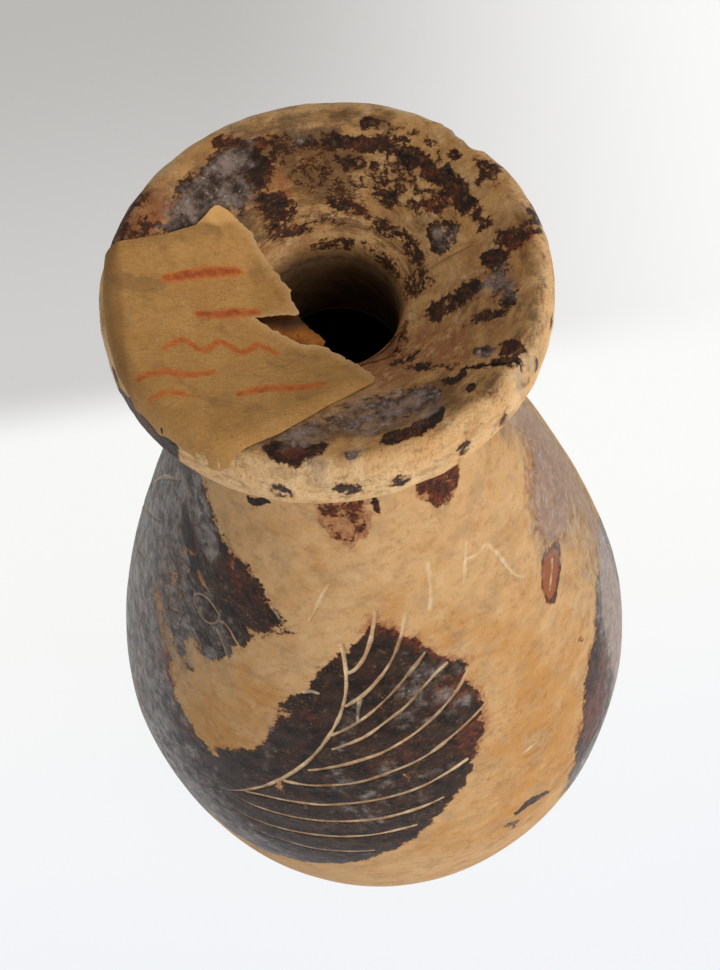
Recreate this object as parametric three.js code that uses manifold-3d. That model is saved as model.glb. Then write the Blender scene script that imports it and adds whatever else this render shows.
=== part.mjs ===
// A small oil flask of painted clay with a dished mouth disc. Body, neck, disc and strap handle are
// made one by one and luted together with slip clay. A torn paper label is glued over the disc.
// Millimetres, +Z up. The origin is the centre of the foot ring, and the handle is at the back, +Y.

import * as THREE from "three";
import { mergeVertices } from "three/addons/utils/BufferGeometryUtils.js";
import Module from "manifold-3d";

// Body, a thrown hollow shell that is widest low down
const bellyRadius = 25;
const bellyHeight = 34;
const shoulderHeight = 88;
const shoulderRunOut = 0.7;
const shoulderBend = 1.45;
const footRadius = 8.5;
const dimpleRadius = 4.2;
const dimpleDepth = 0.9;
const bodyWall = 3;
const floorThickness = 4;

// Neck, a short tube with a spigot at each end
const neckRadius = 8;
const neckWall = 2.6;
const neckHeight = 2.4;
const spigotWall = 1.5;
const bodySocketDepth = 3.4;
const discSocketDepth = 1.5;
const socketLedge = 2;

// Mouth disc, dished towards its hole, with a rolled lip
const rimRadius = 17.5;
const rimThickness = 5;
const discThickness = 3;
const holeFlare = 0.5;
const dishDepth = 4.1;
const dishBend = 1.2;
const lipRoll = 1.5;
const lipDrop = 2.3;
const holeRounding = 0.45;
const rimFootRidge = 0.7;

// Chips knocked out of the lip, by compass angle from the front towards +X
const lipChips = [
  { angle: 130.5, length: 8.6, depth: 1, height: 6.4 },
  { angle: 52, length: 3.4, depth: 0.8, height: 3.6 },
];

// Strap handle, bowed from the disc's underside down to the shoulder
const handleWidth = 10;
const handleThickness = 3.4;
const handleInset = 4.2;
const handleDrop = 16;
const handleSeatDepth = 1;
const handleBow = 5.6;
const handleTopPull = 8;
const handleFootPull = 11;

// Slip clay round the joints
const shoulderLuting = 1.2;
const discLuting = 0.8;
const padSpread = 1.8;
const padHeight = 1.9;

// Paper label, the older paper left under it, and a bead of old glue at the mouth's edge
const labelAcross = 19.6;
const labelAlong = 23.3;
const labelLipLap = 0.6;
const labelBack = 8.5;
const labelThickness = 0.3;
const underLayerThickness = 0.2;
const overhangSlope = 0.2;
const glueThickness = 0.3;
const glueWidth = 1.1;
const glueFrom = 14;
const glueTo = 64;

// Clearances
const jointGap = 0.3;
const paperGap = 0.15;

// Facets
const turnSteps = 40;
const bowlSteps = 8;
const shoulderSteps = 12;
const dishSteps = 6;
const rollSteps = 4;
const strapSteps = 10;
const weldDistance = 1e-4;

// Sizes that follow from the ones above
const neckBoreRadius = neckRadius - neckWall;
const spigotRadius = neckBoreRadius + spigotWall;
const socketRadius = spigotRadius + jointGap;
const holeRadius = neckBoreRadius + holeFlare;
const discBottom = shoulderHeight + neckHeight;
const rimTop = discBottom + discThickness + dishDepth;
const rimBottom = rimTop - rimThickness;
const crestRadius = rimRadius - lipRoll;
const ledgeTop = shoulderHeight - bodySocketDepth;
const ledgeBottom = ledgeTop - socketLedge;
const handleFootHeight = shoulderHeight - handleDrop;
const bowlDepth = bellyHeight / Math.sqrt(1 - (footRadius / bellyRadius) ** 2);

const wasm = await Module();
wasm.setup();

// Outer radius of the shoulder at a height, closing on the neck just above the body's top face
function shoulderRadius(height) {
  const rise = shoulderHeight + shoulderRunOut - bellyHeight;
  const share = THREE.MathUtils.clamp((height - bellyHeight) / rise, 0, 1);
  return bellyRadius - (bellyRadius - neckRadius) * share ** shoulderBend;
}

// Point of the shoulder at a height, moved off the clay by a distance
function shoulderPoint(height, distance) {
  const step = 0.01;
  const slope = (shoulderRadius(height) - shoulderRadius(height - step)) / step;
  const scale = distance / Math.hypot(1, slope);
  return [shoulderRadius(height) + scale, height - slope * scale];
}

// Height of the disc's dished top and rolled lip at a radius
function discTop(radius) {
  if (radius < holeRadius) return rimTop - dishDepth - (holeRadius - radius) * overhangSlope;
  if (radius <= crestRadius) {
    const share = (radius - holeRadius) / (crestRadius - holeRadius);
    return rimTop - dishDepth * (1 - share) ** dishBend;
  }
  const share = Math.min((radius - crestRadius) / lipRoll, 1);
  return rimTop - lipDrop * (1 - Math.sqrt(1 - share ** 2));
}

// Height of the disc's sloping underside at a radius
function discUnderside(radius) {
  const inner = neckRadius + lipRoll / 2;
  const share = (radius - inner) / (rimRadius - rimFootRidge - inner);
  return discBottom + (rimBottom - discBottom) * Math.max(share, 0);
}

function lathe(profile) {
  const points = profile.map(([radius, height]) => new THREE.Vector2(radius, height));
  return new THREE.LatheGeometry(points, turnSteps).rotateX(Math.PI / 2);
}

// A closed geometry as a solid that can be cut and joined
function toSolid(geometry) {
  const bare = geometry.clone();
  bare.deleteAttribute("normal");
  bare.deleteAttribute("uv");
  const merged = mergeVertices(bare, weldDistance);
  const places = merged.getAttribute("position");
  const corners = merged.index.array;
  const triangles = [];
  const [a, b, c] = [new THREE.Vector3(), new THREE.Vector3(), new THREE.Vector3()];
  let volume = 0;
  for (let start = 0; start < corners.length; start += 3) {
    const [first, second, third] = corners.slice(start, start + 3);
    if (first === second || second === third || third === first) continue;
    a.fromBufferAttribute(places, first);
    b.fromBufferAttribute(places, second);
    c.fromBufferAttribute(places, third);
    volume += a.dot(b.cross(c));
    triangles.push(first, second, third);
  }
  if (volume < 0) triangles.reverse();
  const vertProperties = new Float32Array(places.array);
  const triVerts = new Uint32Array(triangles);
  return new wasm.Manifold(new wasm.Mesh({ numProp: 3, vertProperties, triVerts }));
}

function toGeometry(solid) {
  const { vertProperties, triVerts } = solid.getMesh();
  const geometry = new THREE.BufferGeometry();
  geometry.setAttribute("position", new THREE.BufferAttribute(vertProperties, 3));
  geometry.setIndex(new THREE.BufferAttribute(triVerts, 1));
  geometry.computeVertexNormals();
  return geometry;
}

const flask = new THREE.Group();

function addPiece(name, solid, color, roughness) {
  const material = new THREE.MeshStandardMaterial({ color, roughness, metalness: 0 });
  const piece = new THREE.Mesh(toGeometry(solid), material);
  piece.name = name;
  flask.add(piece);
}

const clay = 0xc8a878;
const slipClay = 0xb08a5e;

// Path of the strap, with its ends pushed into their seats by an extra distance
function handlePath(extra) {
  const topRadius = rimRadius - handleInset;
  const topHeight = discUnderside(topRadius) + handleSeatDepth + extra;
  const inside = shoulderPoint(handleFootHeight, -handleSeatDepth - extra);
  const pulled = shoulderPoint(handleFootHeight, handleFootPull);
  return new THREE.CubicBezierCurve3(
    new THREE.Vector3(0, topRadius, topHeight),
    new THREE.Vector3(0, topRadius + handleBow, topHeight - handleTopPull),
    new THREE.Vector3(0, pulled[0], pulled[1]),
    new THREE.Vector3(0, inside[0], inside[1]),
  );
}

// Strap with a round-edged section, grown all round by a clearance
function strap(clearance) {
  const halfWidth = handleWidth / 2 + clearance;
  const halfThickness = handleThickness / 2 + clearance;
  const flat = Math.max(halfWidth - halfThickness, 0);
  const section = new THREE.Shape();
  section.absarc(flat, 0, halfThickness, -Math.PI / 2, Math.PI / 2);
  section.absarc(-flat, 0, halfThickness, Math.PI / 2, Math.PI * 3 / 2);
  return toSolid(new THREE.ExtrudeGeometry(section, {
    extrudePath: handlePath(clearance),
    steps: strapSteps,
    curveSegments: 5,
    bevelEnabled: false,
  }));
}

const strapSeat = strap(jointGap);

// Outer side of the body from the foot ring to its flat top face, moved off the clay by a distance
function bodySide(distance) {
  const side = [];
  for (let step = 0; step < bowlSteps; step += 1) {
    const height = bellyHeight * (1 - Math.cos(step / bowlSteps * Math.PI / 2));
    const fall = (bellyHeight - height) / bowlDepth;
    side.push([bellyRadius * Math.sqrt(1 - fall ** 2) + distance, height]);
  }
  for (let step = 0; step <= shoulderSteps; step += 1) {
    const rise = Math.sin(step / shoulderSteps * Math.PI / 2);
    side.push(shoulderPoint(bellyHeight + (shoulderHeight - bellyHeight) * rise, distance));
  }
  return side;
}

// Cavity wall from the ledge under the neck down to the middle of the floor
function cavitySide() {
  const side = [];
  const widest = bellyRadius - bodyWall;
  for (let step = shoulderSteps; step > 0; step -= 2) {
    const rise = Math.sin(step / shoulderSteps * Math.PI / 2);
    side.push(shoulderPoint(bellyHeight + (ledgeBottom - bellyHeight) * rise, -bodyWall));
  }
  side.unshift([neckBoreRadius, side[0][1]]);
  for (let step = 0; step < bowlSteps; step += 1) {
    const turn = step / bowlSteps * Math.PI / 2;
    side.push([widest * Math.cos(turn), bellyHeight - (bellyHeight - floorThickness) * Math.sin(turn)]);
  }
  side.push([0, floorThickness]);
  return side;
}

const bodyProfile = [
  [0, dimpleDepth],
  [dimpleRadius - dimpleDepth, dimpleDepth],
  [dimpleRadius, 0],
  ...bodySide(0),
  [socketRadius, shoulderHeight],
  [socketRadius, ledgeTop],
  [neckBoreRadius, ledgeTop],
  ...cavitySide(),
];
const body = toSolid(lathe(bodyProfile)).subtract(strapSeat);
addPiece("body", body, clay, 0.8);

// Neck tube: its spigots enter the body's socket and the disc's, its shoulders rest on both
const spigotBottom = ledgeTop + jointGap;
const spigotTop = discBottom + discSocketDepth - jointGap;
addPiece("neck", toSolid(lathe([
  [neckBoreRadius, spigotBottom],
  [spigotRadius, spigotBottom],
  [spigotRadius, shoulderHeight],
  [neckRadius, shoulderHeight],
  [neckRadius, discBottom],
  [spigotRadius, discBottom],
  [spigotRadius, spigotTop],
  [neckBoreRadius, spigotTop],
  [neckBoreRadius, spigotBottom],
])), clay, 0.8);

// Top of the disc from a radius out to the lip's widest point
function discTopLine(from) {
  const line = [];
  for (let step = 0; step < dishSteps; step += 1) {
    line.push(from + (crestRadius - from) * step / dishSteps);
  }
  for (let step = 0; step <= rollSteps; step += 1) {
    line.push(crestRadius + lipRoll * Math.sin(step / rollSteps * Math.PI / 2));
  }
  return line.map((radius) => [radius, discTop(radius)]);
}

const discHoleTop = holeRadius + holeRounding;
const discProfile = [
  [holeRadius, discTop(discHoleTop) - holeRounding * 2],
  ...discTopLine(discHoleTop),
  [rimRadius, rimBottom + rimFootRidge],
  [rimRadius - rimFootRidge, rimBottom],
  [neckRadius + lipRoll / 2, discBottom],
  [socketRadius, discBottom],
  [socketRadius, discBottom + discSocketDepth],
  [holeRadius, discBottom + discSocketDepth],
  [holeRadius, discTop(discHoleTop) - holeRounding * 2],
];

function lipChip({ angle, length, depth, height }) {
  const chip = new THREE.SphereGeometry(1, 10, 6);
  chip.scale(length / 2, depth * 2, height / 2);
  chip.translate(0, -rimRadius - depth, rimTop - lipDrop / 2);
  chip.rotateZ(THREE.MathUtils.degToRad(angle));
  return toSolid(chip);
}

let mouthDisc = toSolid(lathe(discProfile)).subtract(strapSeat);
for (const chip of lipChips) mouthDisc = mouthDisc.subtract(lipChip(chip));
addPiece("mouth_disc", mouthDisc, 0xa8845a, 0.7);

addPiece("handle", strap(0), clay, 0.8);

// Collars of slip clay in the angles above and below the neck
const collarBottom = shoulderHeight - shoulderLuting;
const collarMiddle = shoulderHeight + neckHeight / 2 - jointGap / 2;
const collarInside = neckRadius + jointGap;
addPiece("neck_luting", toSolid(lathe([
  [collarInside, shoulderHeight + jointGap],
  shoulderPoint(shoulderHeight, jointGap),
  shoulderPoint(shoulderHeight - shoulderLuting / 2, jointGap),
  shoulderPoint(collarBottom, jointGap),
  shoulderPoint(collarBottom, jointGap * 2),
  [shoulderPoint(shoulderHeight, jointGap)[0], Math.min(shoulderHeight + shoulderLuting / 2, collarMiddle)],
  [collarInside + jointGap, Math.min(shoulderHeight + shoulderLuting, collarMiddle)],
  [collarInside, Math.min(shoulderHeight + shoulderLuting, collarMiddle)],
  [collarInside, shoulderHeight + jointGap],
])), slipClay, 0.85);

const discCollarBottom = Math.max(discBottom - discLuting, collarMiddle + jointGap);
addPiece("disc_luting", toSolid(lathe([
  [collarInside, discCollarBottom],
  [collarInside + jointGap, discCollarBottom],
  [collarInside + discLuting, discBottom - jointGap * 1.5],
  [collarInside + discLuting, discBottom - jointGap],
  [collarInside, discBottom - jointGap],
  [collarInside, discCollarBottom],
])), slipClay, 0.85);

// Pads of slip clay pressed round the two ends of the strap
function lutingPad(place, tilt) {
  const pad = new THREE.SphereGeometry(1, 20, 12);
  pad.scale(handleWidth / 2 + padSpread, handleThickness / 2 + padSpread, padHeight);
  pad.rotateX(tilt);
  pad.translate(0, place[0], place[1]);
  return toSolid(pad).subtract(strapSeat);
}

const topSeat = rimRadius - handleInset + handleSeatDepth * handleBow / handleTopPull;
const discUnderMass = toSolid(lathe([
  [0, discBottom - jointGap],
  [neckRadius + lipRoll / 2, discBottom - jointGap],
  [rimRadius - rimFootRidge, rimBottom - jointGap],
  [rimRadius + padSpread, rimBottom - jointGap],
  [rimRadius + padSpread, rimTop],
  [0, rimTop],
]));
const topPad = lutingPad([topSeat, discUnderside(topSeat)], 0).subtract(discUnderMass);
addPiece("handle_top_luting", topPad, slipClay, 0.85);

const bodyMass = toSolid(lathe([[0, 0], ...bodySide(jointGap), [0, shoulderHeight]]));
const footSurface = shoulderPoint(handleFootHeight, 0);
const footAway = shoulderPoint(handleFootHeight, 1);
const footTilt = -Math.atan2(footAway[0] - footSurface[0], footAway[1] - footSurface[1]);
const footPad = lutingPad(footSurface, footTilt).subtract(bodyMass);
addPiece("handle_foot_luting", footPad, slipClay, 0.85);

// A thin sheet that lies on the disc's top, lifted off it
function sheetOnDisc(lift, thickness) {
  const line = [[0, discTop(0)], ...discTopLine(holeRadius)];
  const low = line.map(([radius, height]) => [radius, height + lift]);
  const high = line.map(([radius, height]) => [radius, height + lift + thickness]);
  const lowEdge = [rimRadius + lift + thickness, low.at(-1)[1]];
  const highEdge = [rimRadius + lift + thickness, high.at(-1)[1]];
  return toSolid(lathe([...low, lowEdge, highEdge, ...high.reverse()]));
}

// Upright prism over an outline of the disc, to trim a sheet with
function prism(outline) {
  const shape = new THREE.Shape(outline.map(([x, y]) => new THREE.Vector2(x, y)));
  const height = dishDepth + rimThickness * 2;
  const block = new THREE.ExtrudeGeometry(shape, { depth: height, bevelEnabled: false });
  return toSolid(block.translate(0, 0, rimTop - rimThickness - dishDepth));
}

// Label's torn outline as shares of its size across and along, from the back edge round by the mouth
const labelOutline = [
  [0.02, 0.85], [0.15, 0.88], [0.27, 0.905], [0.385, 0.94], [0.44, 0.985], [0.475, 1], [0.51, 0.985],
  [0.6, 0.91], [0.62, 0.855], [0.67, 0.775], [0.725, 0.7], [0.72, 0.67], [0.74, 0.61],
  [0.66, 0.605], [0.565, 0.6],
  [0.64, 0.545], [0.685, 0.51], [0.735, 0.48], [0.83, 0.465], [0.88, 0.42], [0.94, 0.36], [1, 0.275],
  [0.99, 0.26], [0.81, 0.18], [0.61, 0.065], [0.42, 0],
  [0.35, 0.02], [0.25, 0.09], [0.16, 0.17], [0.08, 0.27], [0.03, 0.38], [0.005, 0.5], [0, 0.65],
];
const labelLeft = labelLipLap - rimRadius;
const labelFront = labelBack - labelAlong;
const labelPlace = ([across, along]) => [labelLeft + across * labelAcross, labelFront + along * labelAlong];
const labelLift = paperGap * 2 + underLayerThickness;
const labelSheet = sheetOnDisc(labelLift, labelThickness);
addPiece("paper_label", labelSheet.intersect(prism(labelOutline.map(labelPlace))), 0xb9935a, 0.9);

// Older paper in the label's torn notch, soaked brown with glue
const underLayerOutline = [
  [0.5, 0.66], [0.735, 0.615], [0.765, 0.57], [0.805, 0.525], [0.83, 0.495], [0.815, 0.45], [0.7, 0.42],
  [0.52, 0.47],
];
const underLayer = sheetOnDisc(paperGap, underLayerThickness);
addPiece("label_under_layer", underLayer.intersect(prism(underLayerOutline.map(labelPlace))), 0x7a4a18, 0.35);

// Bead of dried glue along the front right of the hole, widest past its middle
const beadSteps = 8;
const beadInner = [];
const beadOuter = [];
for (let step = 0; step <= beadSteps; step += 1) {
  const share = step / beadSteps;
  const angle = THREE.MathUtils.degToRad(glueFrom + (glueTo - glueFrom) * share);
  const width = glueWidth * (0.25 + 0.75 * Math.sin(share ** 1.5 * Math.PI));
  const inner = holeRadius + holeRounding;
  beadInner.push([inner * Math.sin(angle), -inner * Math.cos(angle)]);
  beadOuter.unshift([(inner + width) * Math.sin(angle), -(inner + width) * Math.cos(angle)]);
}
const glueSheet = sheetOnDisc(paperGap, glueThickness);
addPiece("glue_bead", glueSheet.intersect(prism([...beadInner, ...beadOuter])), 0x8a5a20, 0.2);

export default flask;
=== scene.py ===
import math

import bpy
import numpy as np
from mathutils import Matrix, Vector, geometry, noise


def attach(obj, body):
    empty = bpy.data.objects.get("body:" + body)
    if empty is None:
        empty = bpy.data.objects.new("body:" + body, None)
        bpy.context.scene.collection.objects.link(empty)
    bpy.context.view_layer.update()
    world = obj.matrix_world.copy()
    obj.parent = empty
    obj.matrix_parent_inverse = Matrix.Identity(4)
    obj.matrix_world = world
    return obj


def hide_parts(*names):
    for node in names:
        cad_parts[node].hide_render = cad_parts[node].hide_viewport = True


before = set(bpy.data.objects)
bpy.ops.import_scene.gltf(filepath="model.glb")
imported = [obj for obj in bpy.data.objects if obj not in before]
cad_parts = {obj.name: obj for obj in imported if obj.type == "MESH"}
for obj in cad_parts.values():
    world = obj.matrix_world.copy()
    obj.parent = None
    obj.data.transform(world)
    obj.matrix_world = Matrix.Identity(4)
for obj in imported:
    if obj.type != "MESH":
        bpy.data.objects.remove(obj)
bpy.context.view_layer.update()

# ---------------------------------------------------------------------------
# The view: from the front, 55 degrees above the table, through a long lens.
# The camera stands 16 cm from the mouth and leans a little to one side.

def placed(name, data):
    """A new object in the scene that holds a camera, a lamp, a line or a mesh."""
    made = bpy.data.objects.new(name, data)
    bpy.context.scene.collection.objects.link(made)
    return made


view = placed("view", bpy.data.cameras.new("view"))
view.location = (0, -0.09033, 0.22653)
view.rotation_euler = [math.radians(angle) for angle in (28.8345, 3.7765, -7.1721)]
view.data.lens = 76.64
view.data.sensor_width = 36
view.data.clip_start = 0.01
bpy.context.scene.camera = view
bpy.context.scene.view_settings.view_transform = "Standard"


# ---------------------------------------------------------------------------
# The table: a smooth white sheet, faintly bluer at the near edge, with a painted grey shade at the far left where the
# window's light does not reach.
# A large soft lamp stands in for the window at the front right, and the room fills the rest.

def dye(red, green, blue):
    """A colour as a painter's chart gives it, 0 to 255, for a shader."""
    shares = [value / 255 for value in (red, green, blue)]
    return [share / 12.92 if share <= 0.04045 else ((share + 0.055) / 1.055) ** 2.4 for share in shares] + [1]


class Finish:
    """A surface finish. Its patterns are measured in millimetres on the piece itself."""

    def __init__(self, name, roughness=0.5, **constants):
        self.material = bpy.data.materials.new(name)
        self.material.use_nodes = True
        self.tree = self.material.node_tree
        self.surface = self.tree.nodes["Principled BSDF"]
        self.surface.inputs["Roughness"].default_value = roughness
        for key, value in constants.items():
            self.surface.inputs[key.replace("_", " ").title().replace("Ior", "IOR")].default_value = value
        self.place = self.tree.nodes.new("ShaderNodeTexCoord").outputs["Object"]

    def put(self, socket, value):
        if isinstance(value, bpy.types.NodeSocket):
            self.tree.links.new(value, socket)
        elif value is not None:
            socket.default_value = value

    def add(self, kind, *values, **settings):
        made = self.tree.nodes.new("ShaderNode" + kind)
        for key, value in settings.items():
            setattr(made, key, value)
        for socket, value in zip(made.inputs, values):
            self.put(socket, value)
        return made

    def calc(self, operation, first, second=None):
        return self.add("Math", first, second, operation=operation).outputs[0]

    def plus(self, first, second):
        return self.calc("ADD", first, second)

    def minus(self, first, second):
        return self.calc("SUBTRACT", first, second)

    def times(self, first, second):
        return self.calc("MULTIPLY", first, second)

    def larger(self, first, second):
        return self.calc("MAXIMUM", first, second)

    def vector(self, operation, *values, result=0):
        return self.add("VectorMath", *values, operation=operation).outputs[result]

    def along(self, way):
        """How far a point lies along a direction from the origin, in metres."""
        return self.vector("DOT_PRODUCT", self.place, way, result="Value")

    def step(self, value, low, high, least=0.0, most=1.0):
        made = self.add("MapRange", value, low, high, least, most, interpolation_type="SMOOTHSTEP")
        return made.outputs[0]

    def stretched(self, stretch):
        return self.add("Mapping", self.place, None, None, [1000 * share for share in stretch]).outputs[0]

    def grain(self, size, detail=4.0, stretch=(1, 1, 1), low=0.33, high=0.67, rough=0.55):
        """Soft random patches of a size in millimetres, from 0 to 1."""
        made = self.add("TexNoise")
        self.put(made.inputs["Vector"], self.stretched(stretch))
        made.inputs["Scale"].default_value = 1 / size
        made.inputs["Detail"].default_value = detail
        made.inputs["Roughness"].default_value = rough
        return self.add("MapRange", made.outputs["Fac"], low, high).outputs[0]

    def patches(self, low, high, *sizes, **kinds):
        """The same with soft edges: what of the grain lies from low to high."""
        return self.step(self.grain(*sizes, **kinds), low, high)

    def chips(self, size, stretch=(1, 1, 1)):
        """Distance inside random cells of a size in millimetres."""
        made = self.add("TexVoronoi")
        self.put(made.inputs["Vector"], self.stretched(stretch))
        made.inputs["Scale"].default_value = 1 / size
        return made.outputs["Distance"]

    def reads(self, name):
        return self.add("Attribute", attribute_name=name).outputs["Fac"]

    def blend(self, share, under, over):
        made = self.tree.nodes.new("ShaderNodeMix")
        made.data_type = "RGBA"
        for socket, value in zip([made.inputs[0], made.inputs[6], made.inputs[7]], (share, under, over)):
            self.put(socket, value)
        return made.outputs[2]

    def wash(self, tone, colour, share, strength):
        """A thin colour over a tone: its share of the surface, times its strength."""
        return self.blend(self.times(share, strength), tone, colour)

    def reliefs(self, *layers):
        """Small reliefs laid over each other, each a height and its depth in millimetres."""
        made = None
        for height, depth in layers:
            before, made = made, self.add("Bump")
            made.inputs["Strength"].default_value = 1.0
            made.inputs["Distance"].default_value = depth / 1000
            self.put(made.inputs["Height"], height)
            self.put(made.inputs["Normal"], before and before.outputs["Normal"])
        return made.outputs["Normal"]

    def finish(self, colour=None, roughness=None, normal=None):
        self.put(self.surface.inputs["Base Color"], colour)
        self.put(self.surface.inputs["Roughness"], roughness)
        self.put(self.surface.inputs["Normal"], normal)
        return self.material


table_finish = Finish("white_table_sheet", roughness=0.6)
across_table, along_table = table_finish.along((1, 0, 0)), table_finish.along((0, 1, 0))
# painted shade: the sheet's colour turns grey beyond the flask and towards the left
far_side = table_finish.step(along_table, 0.048, 0.057)
left_side = table_finish.step(across_table, 0.065, -0.015)
shade_tone = table_finish.blend(table_finish.step(along_table, 0.055, 0.125), dye(212, 211, 209), dye(189, 187, 184))
near_tone = table_finish.blend(table_finish.step(along_table, -0.03, 0.035), dye(245, 248, 252), dye(254, 254, 252))
sheet_white = table_finish.wash(near_tone, shade_tone, far_side, left_side)
table_finish.finish(sheet_white)
# the sheet glows faintly for every ray, a painted light that brightens the flask from below
table_finish.surface.inputs["Emission Color"].default_value = dye(255, 255, 255)
table_finish.surface.inputs["Emission Strength"].default_value = 0.15
# camera and glossy rays see the sheet as a glow of its own colour: a white ground with its painted shade, and a
# painted bright reflection in the glossy slip
glow = table_finish.add("Emission", sheet_white, 1.0)
path_kind = table_finish.add("LightPath")
seen = table_finish.larger(path_kind.outputs["Is Camera Ray"], path_kind.outputs["Is Glossy Ray"])
mixed = table_finish.add("MixShader", table_finish.times(seen, 0.88), table_finish.surface.outputs[0],
                         glow.outputs[0])
table_finish.put(table_finish.tree.nodes["Material Output"].inputs["Surface"], mixed.outputs[0])

table_reach = 1.5
table_corners = [(table_reach * x, table_reach * y, 0) for x, y in ((-1, -1), (1, -1), (1, 1), (-1, 1))]
table_mesh = bpy.data.meshes.new("table")
table_mesh.from_pydata(table_corners, [], [(0, 1, 2, 3)])
table_mesh.materials.append(table_finish.material)
table = placed("table", table_mesh)

window = bpy.data.lights.new("window_side", "AREA")
window.color = (1, 0.96, 0.9)
window.size = 0.4
window.energy = 2.3
window_lamp = placed("window_side", window)
window_lamp.location = (0.42, -0.42, 0.36)
to_flask = Vector((0, 0, 0.06)) - window_lamp.location
window_lamp.rotation_euler = to_flask.to_track_quat("-Z", "Y").to_euler()
room = bpy.data.worlds.new("room")
room.use_nodes = True
room.node_tree.nodes["Background"].inputs["Color"].default_value = (0.97, 0.99, 1, 1)
room.node_tree.nodes["Background"].inputs["Strength"].default_value = 0.4
bpy.context.scene.world = room


# ---------------------------------------------------------------------------
# The body: a thrown, hollow shell of buff clay, widest low down, with a small foot ring.
# The potter turned it, polished it and painted it in dark slip and red before the firing.
# The feathers were cut through the slip with a point, down to the clay.

belly_radius, belly_height, bowl_depth = 25.0, 34.0, 36.15
shoulder_height, neck_radius = 88.0, 8.0
wall, floor_height, cavity_top = 3.0, 4.0, 81.5
socket_radius, ledge_height, bore_radius = 7.2, 84.6, 5.4
bare, skin = -0.6, 0.4    # a share of paint that leaves none, and the depth that counts as the outer face


def side_radius(height):
    """Outer radius of the body at a height: a rounded bowl below the belly, a long shoulder above."""
    height = np.asarray(height, float)
    rise = np.clip((height - belly_height) / (shoulder_height + 0.7 - belly_height), 0, 1)
    fall = np.clip((belly_height - height) / bowl_depth, 0, 1)
    shoulder = belly_radius - (belly_radius - neck_radius) * rise ** 1.45
    return np.where(height > belly_height, shoulder, belly_radius * np.sqrt(1 - fall ** 2))


def stepped(corners, step):
    """Points along straight runs between corners, at most a step apart."""
    points = []
    for (radius, height), (next_radius, next_height) in zip(corners, corners[1:]):
        count = max(int(math.hypot(next_radius - radius, next_height - height) / step), 1)
        for share in np.arange(count) / count:
            points.append((radius + (next_radius - radius) * share, height + (next_height - height) * share))
    return points + [corners[-1]]


def along_side(start, end, step, inset=0.0):
    """Points up the body's side from one height to another, set in from the surface."""
    heights = np.linspace(start, end, 400)
    slope = np.gradient(side_radius(heights), heights)
    steepness = np.hypot(1, slope)
    radii, heights = side_radius(heights) - inset / steepness, heights + inset * slope / steepness
    walked = np.concatenate([[0], np.cumsum(np.hypot(np.diff(radii), np.diff(heights)))])
    marks = np.linspace(0, walked[-1], int(walked[-1] / step) + 1)
    return list(zip(np.interp(marks, walked, radii), np.interp(marks, walked, heights)))


class NodeTree:
    """A tree of geometry nodes with named inputs, which ends in one plain mesh of one clay."""

    def __init__(self, name, **inputs):
        self.tree = bpy.data.node_groups.new(name, "GeometryNodeTree")
        self.tree.interface.new_socket("Geometry", in_out="OUTPUT", socket_type="NodeSocketGeometry")
        for key, kind in {**inputs, "Clay": "Material"}.items():
            self.tree.interface.new_socket(key.replace("_", " "), in_out="INPUT", socket_type="NodeSocket" + kind)
        self.given = self.tree.nodes.new("NodeGroupInput").outputs

    def add(self, kind, settings=None, **inputs):
        """A node with its settings and named inputs. Gives its outputs."""
        made = self.tree.nodes.new(kind)
        for key, value in (settings or {}).items():
            setattr(made, key, value)
        for key, value in inputs.items():
            self.put(made.inputs[key.replace("_", " ")], value)
        return made.outputs

    def put(self, socket, value):
        if isinstance(value, bpy.types.NodeSocket):
            self.tree.links.new(value, socket)
        else:
            socket.default_value = value

    def calc(self, operation, *values):
        made = self.tree.nodes.new("ShaderNodeMath")
        made.operation = operation
        for socket, value in zip(made.inputs, values):
            self.put(socket, value)
        return made.outputs[0]

    def finished(self, shape):
        whole = self.add("GeometryNodeRealizeInstances", Geometry=shape)[0]
        clad = self.add("GeometryNodeSetMaterial", Geometry=whole, Material=self.given["Clay"])[0]
        self.tree.links.new(clad, self.tree.nodes.new("NodeGroupOutput").inputs[0])
        return self.tree


def wheel_tree():
    """Turns an outline round the upright axis, as the wheel does: a grid with a row for each point
    of the outline is bent round, and its seam and poles are closed."""
    tree = NodeTree("turned on the wheel", Outline="Object", Turn_Steps="Int")
    outline = tree.add("GeometryNodeObjectInfo", Object=tree.given["Outline"])["Geometry"]
    count = tree.add("GeometryNodeAttributeDomainSize", {"component": "CURVE"}, Geometry=outline)["Point Count"]
    grid = tree.add("GeometryNodeMeshGrid", Vertices_X=tree.calc("ADD", tree.given["Turn Steps"], 1),
                    Vertices_Y=count)
    shares = tree.add("ShaderNodeSeparateXYZ", Vector=grid["UV Map"])
    row = tree.calc("ROUND", tree.calc("MULTIPLY", shares["Y"], tree.calc("SUBTRACT", count, 1)))
    point = tree.add("GeometryNodeSampleIndex", {"data_type": "FLOAT_VECTOR", "domain": "POINT"}, Geometry=outline,
                     Value=tree.add("GeometryNodeInputPosition")[0], Index=row)[0]
    angle = tree.calc("MULTIPLY", shares["X"], 2 * math.pi)
    bent = tree.add("ShaderNodeVectorRotate", {"rotation_type": "Z_AXIS"}, Vector=point, Angle=angle)[0]
    shape = tree.add("GeometryNodeSetPosition", Geometry=grid["Mesh"], Position=bent)[0]
    return tree.finished(tree.add("GeometryNodeMergeByDistance", Geometry=shape, Distance=1e-6)[0])


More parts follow.
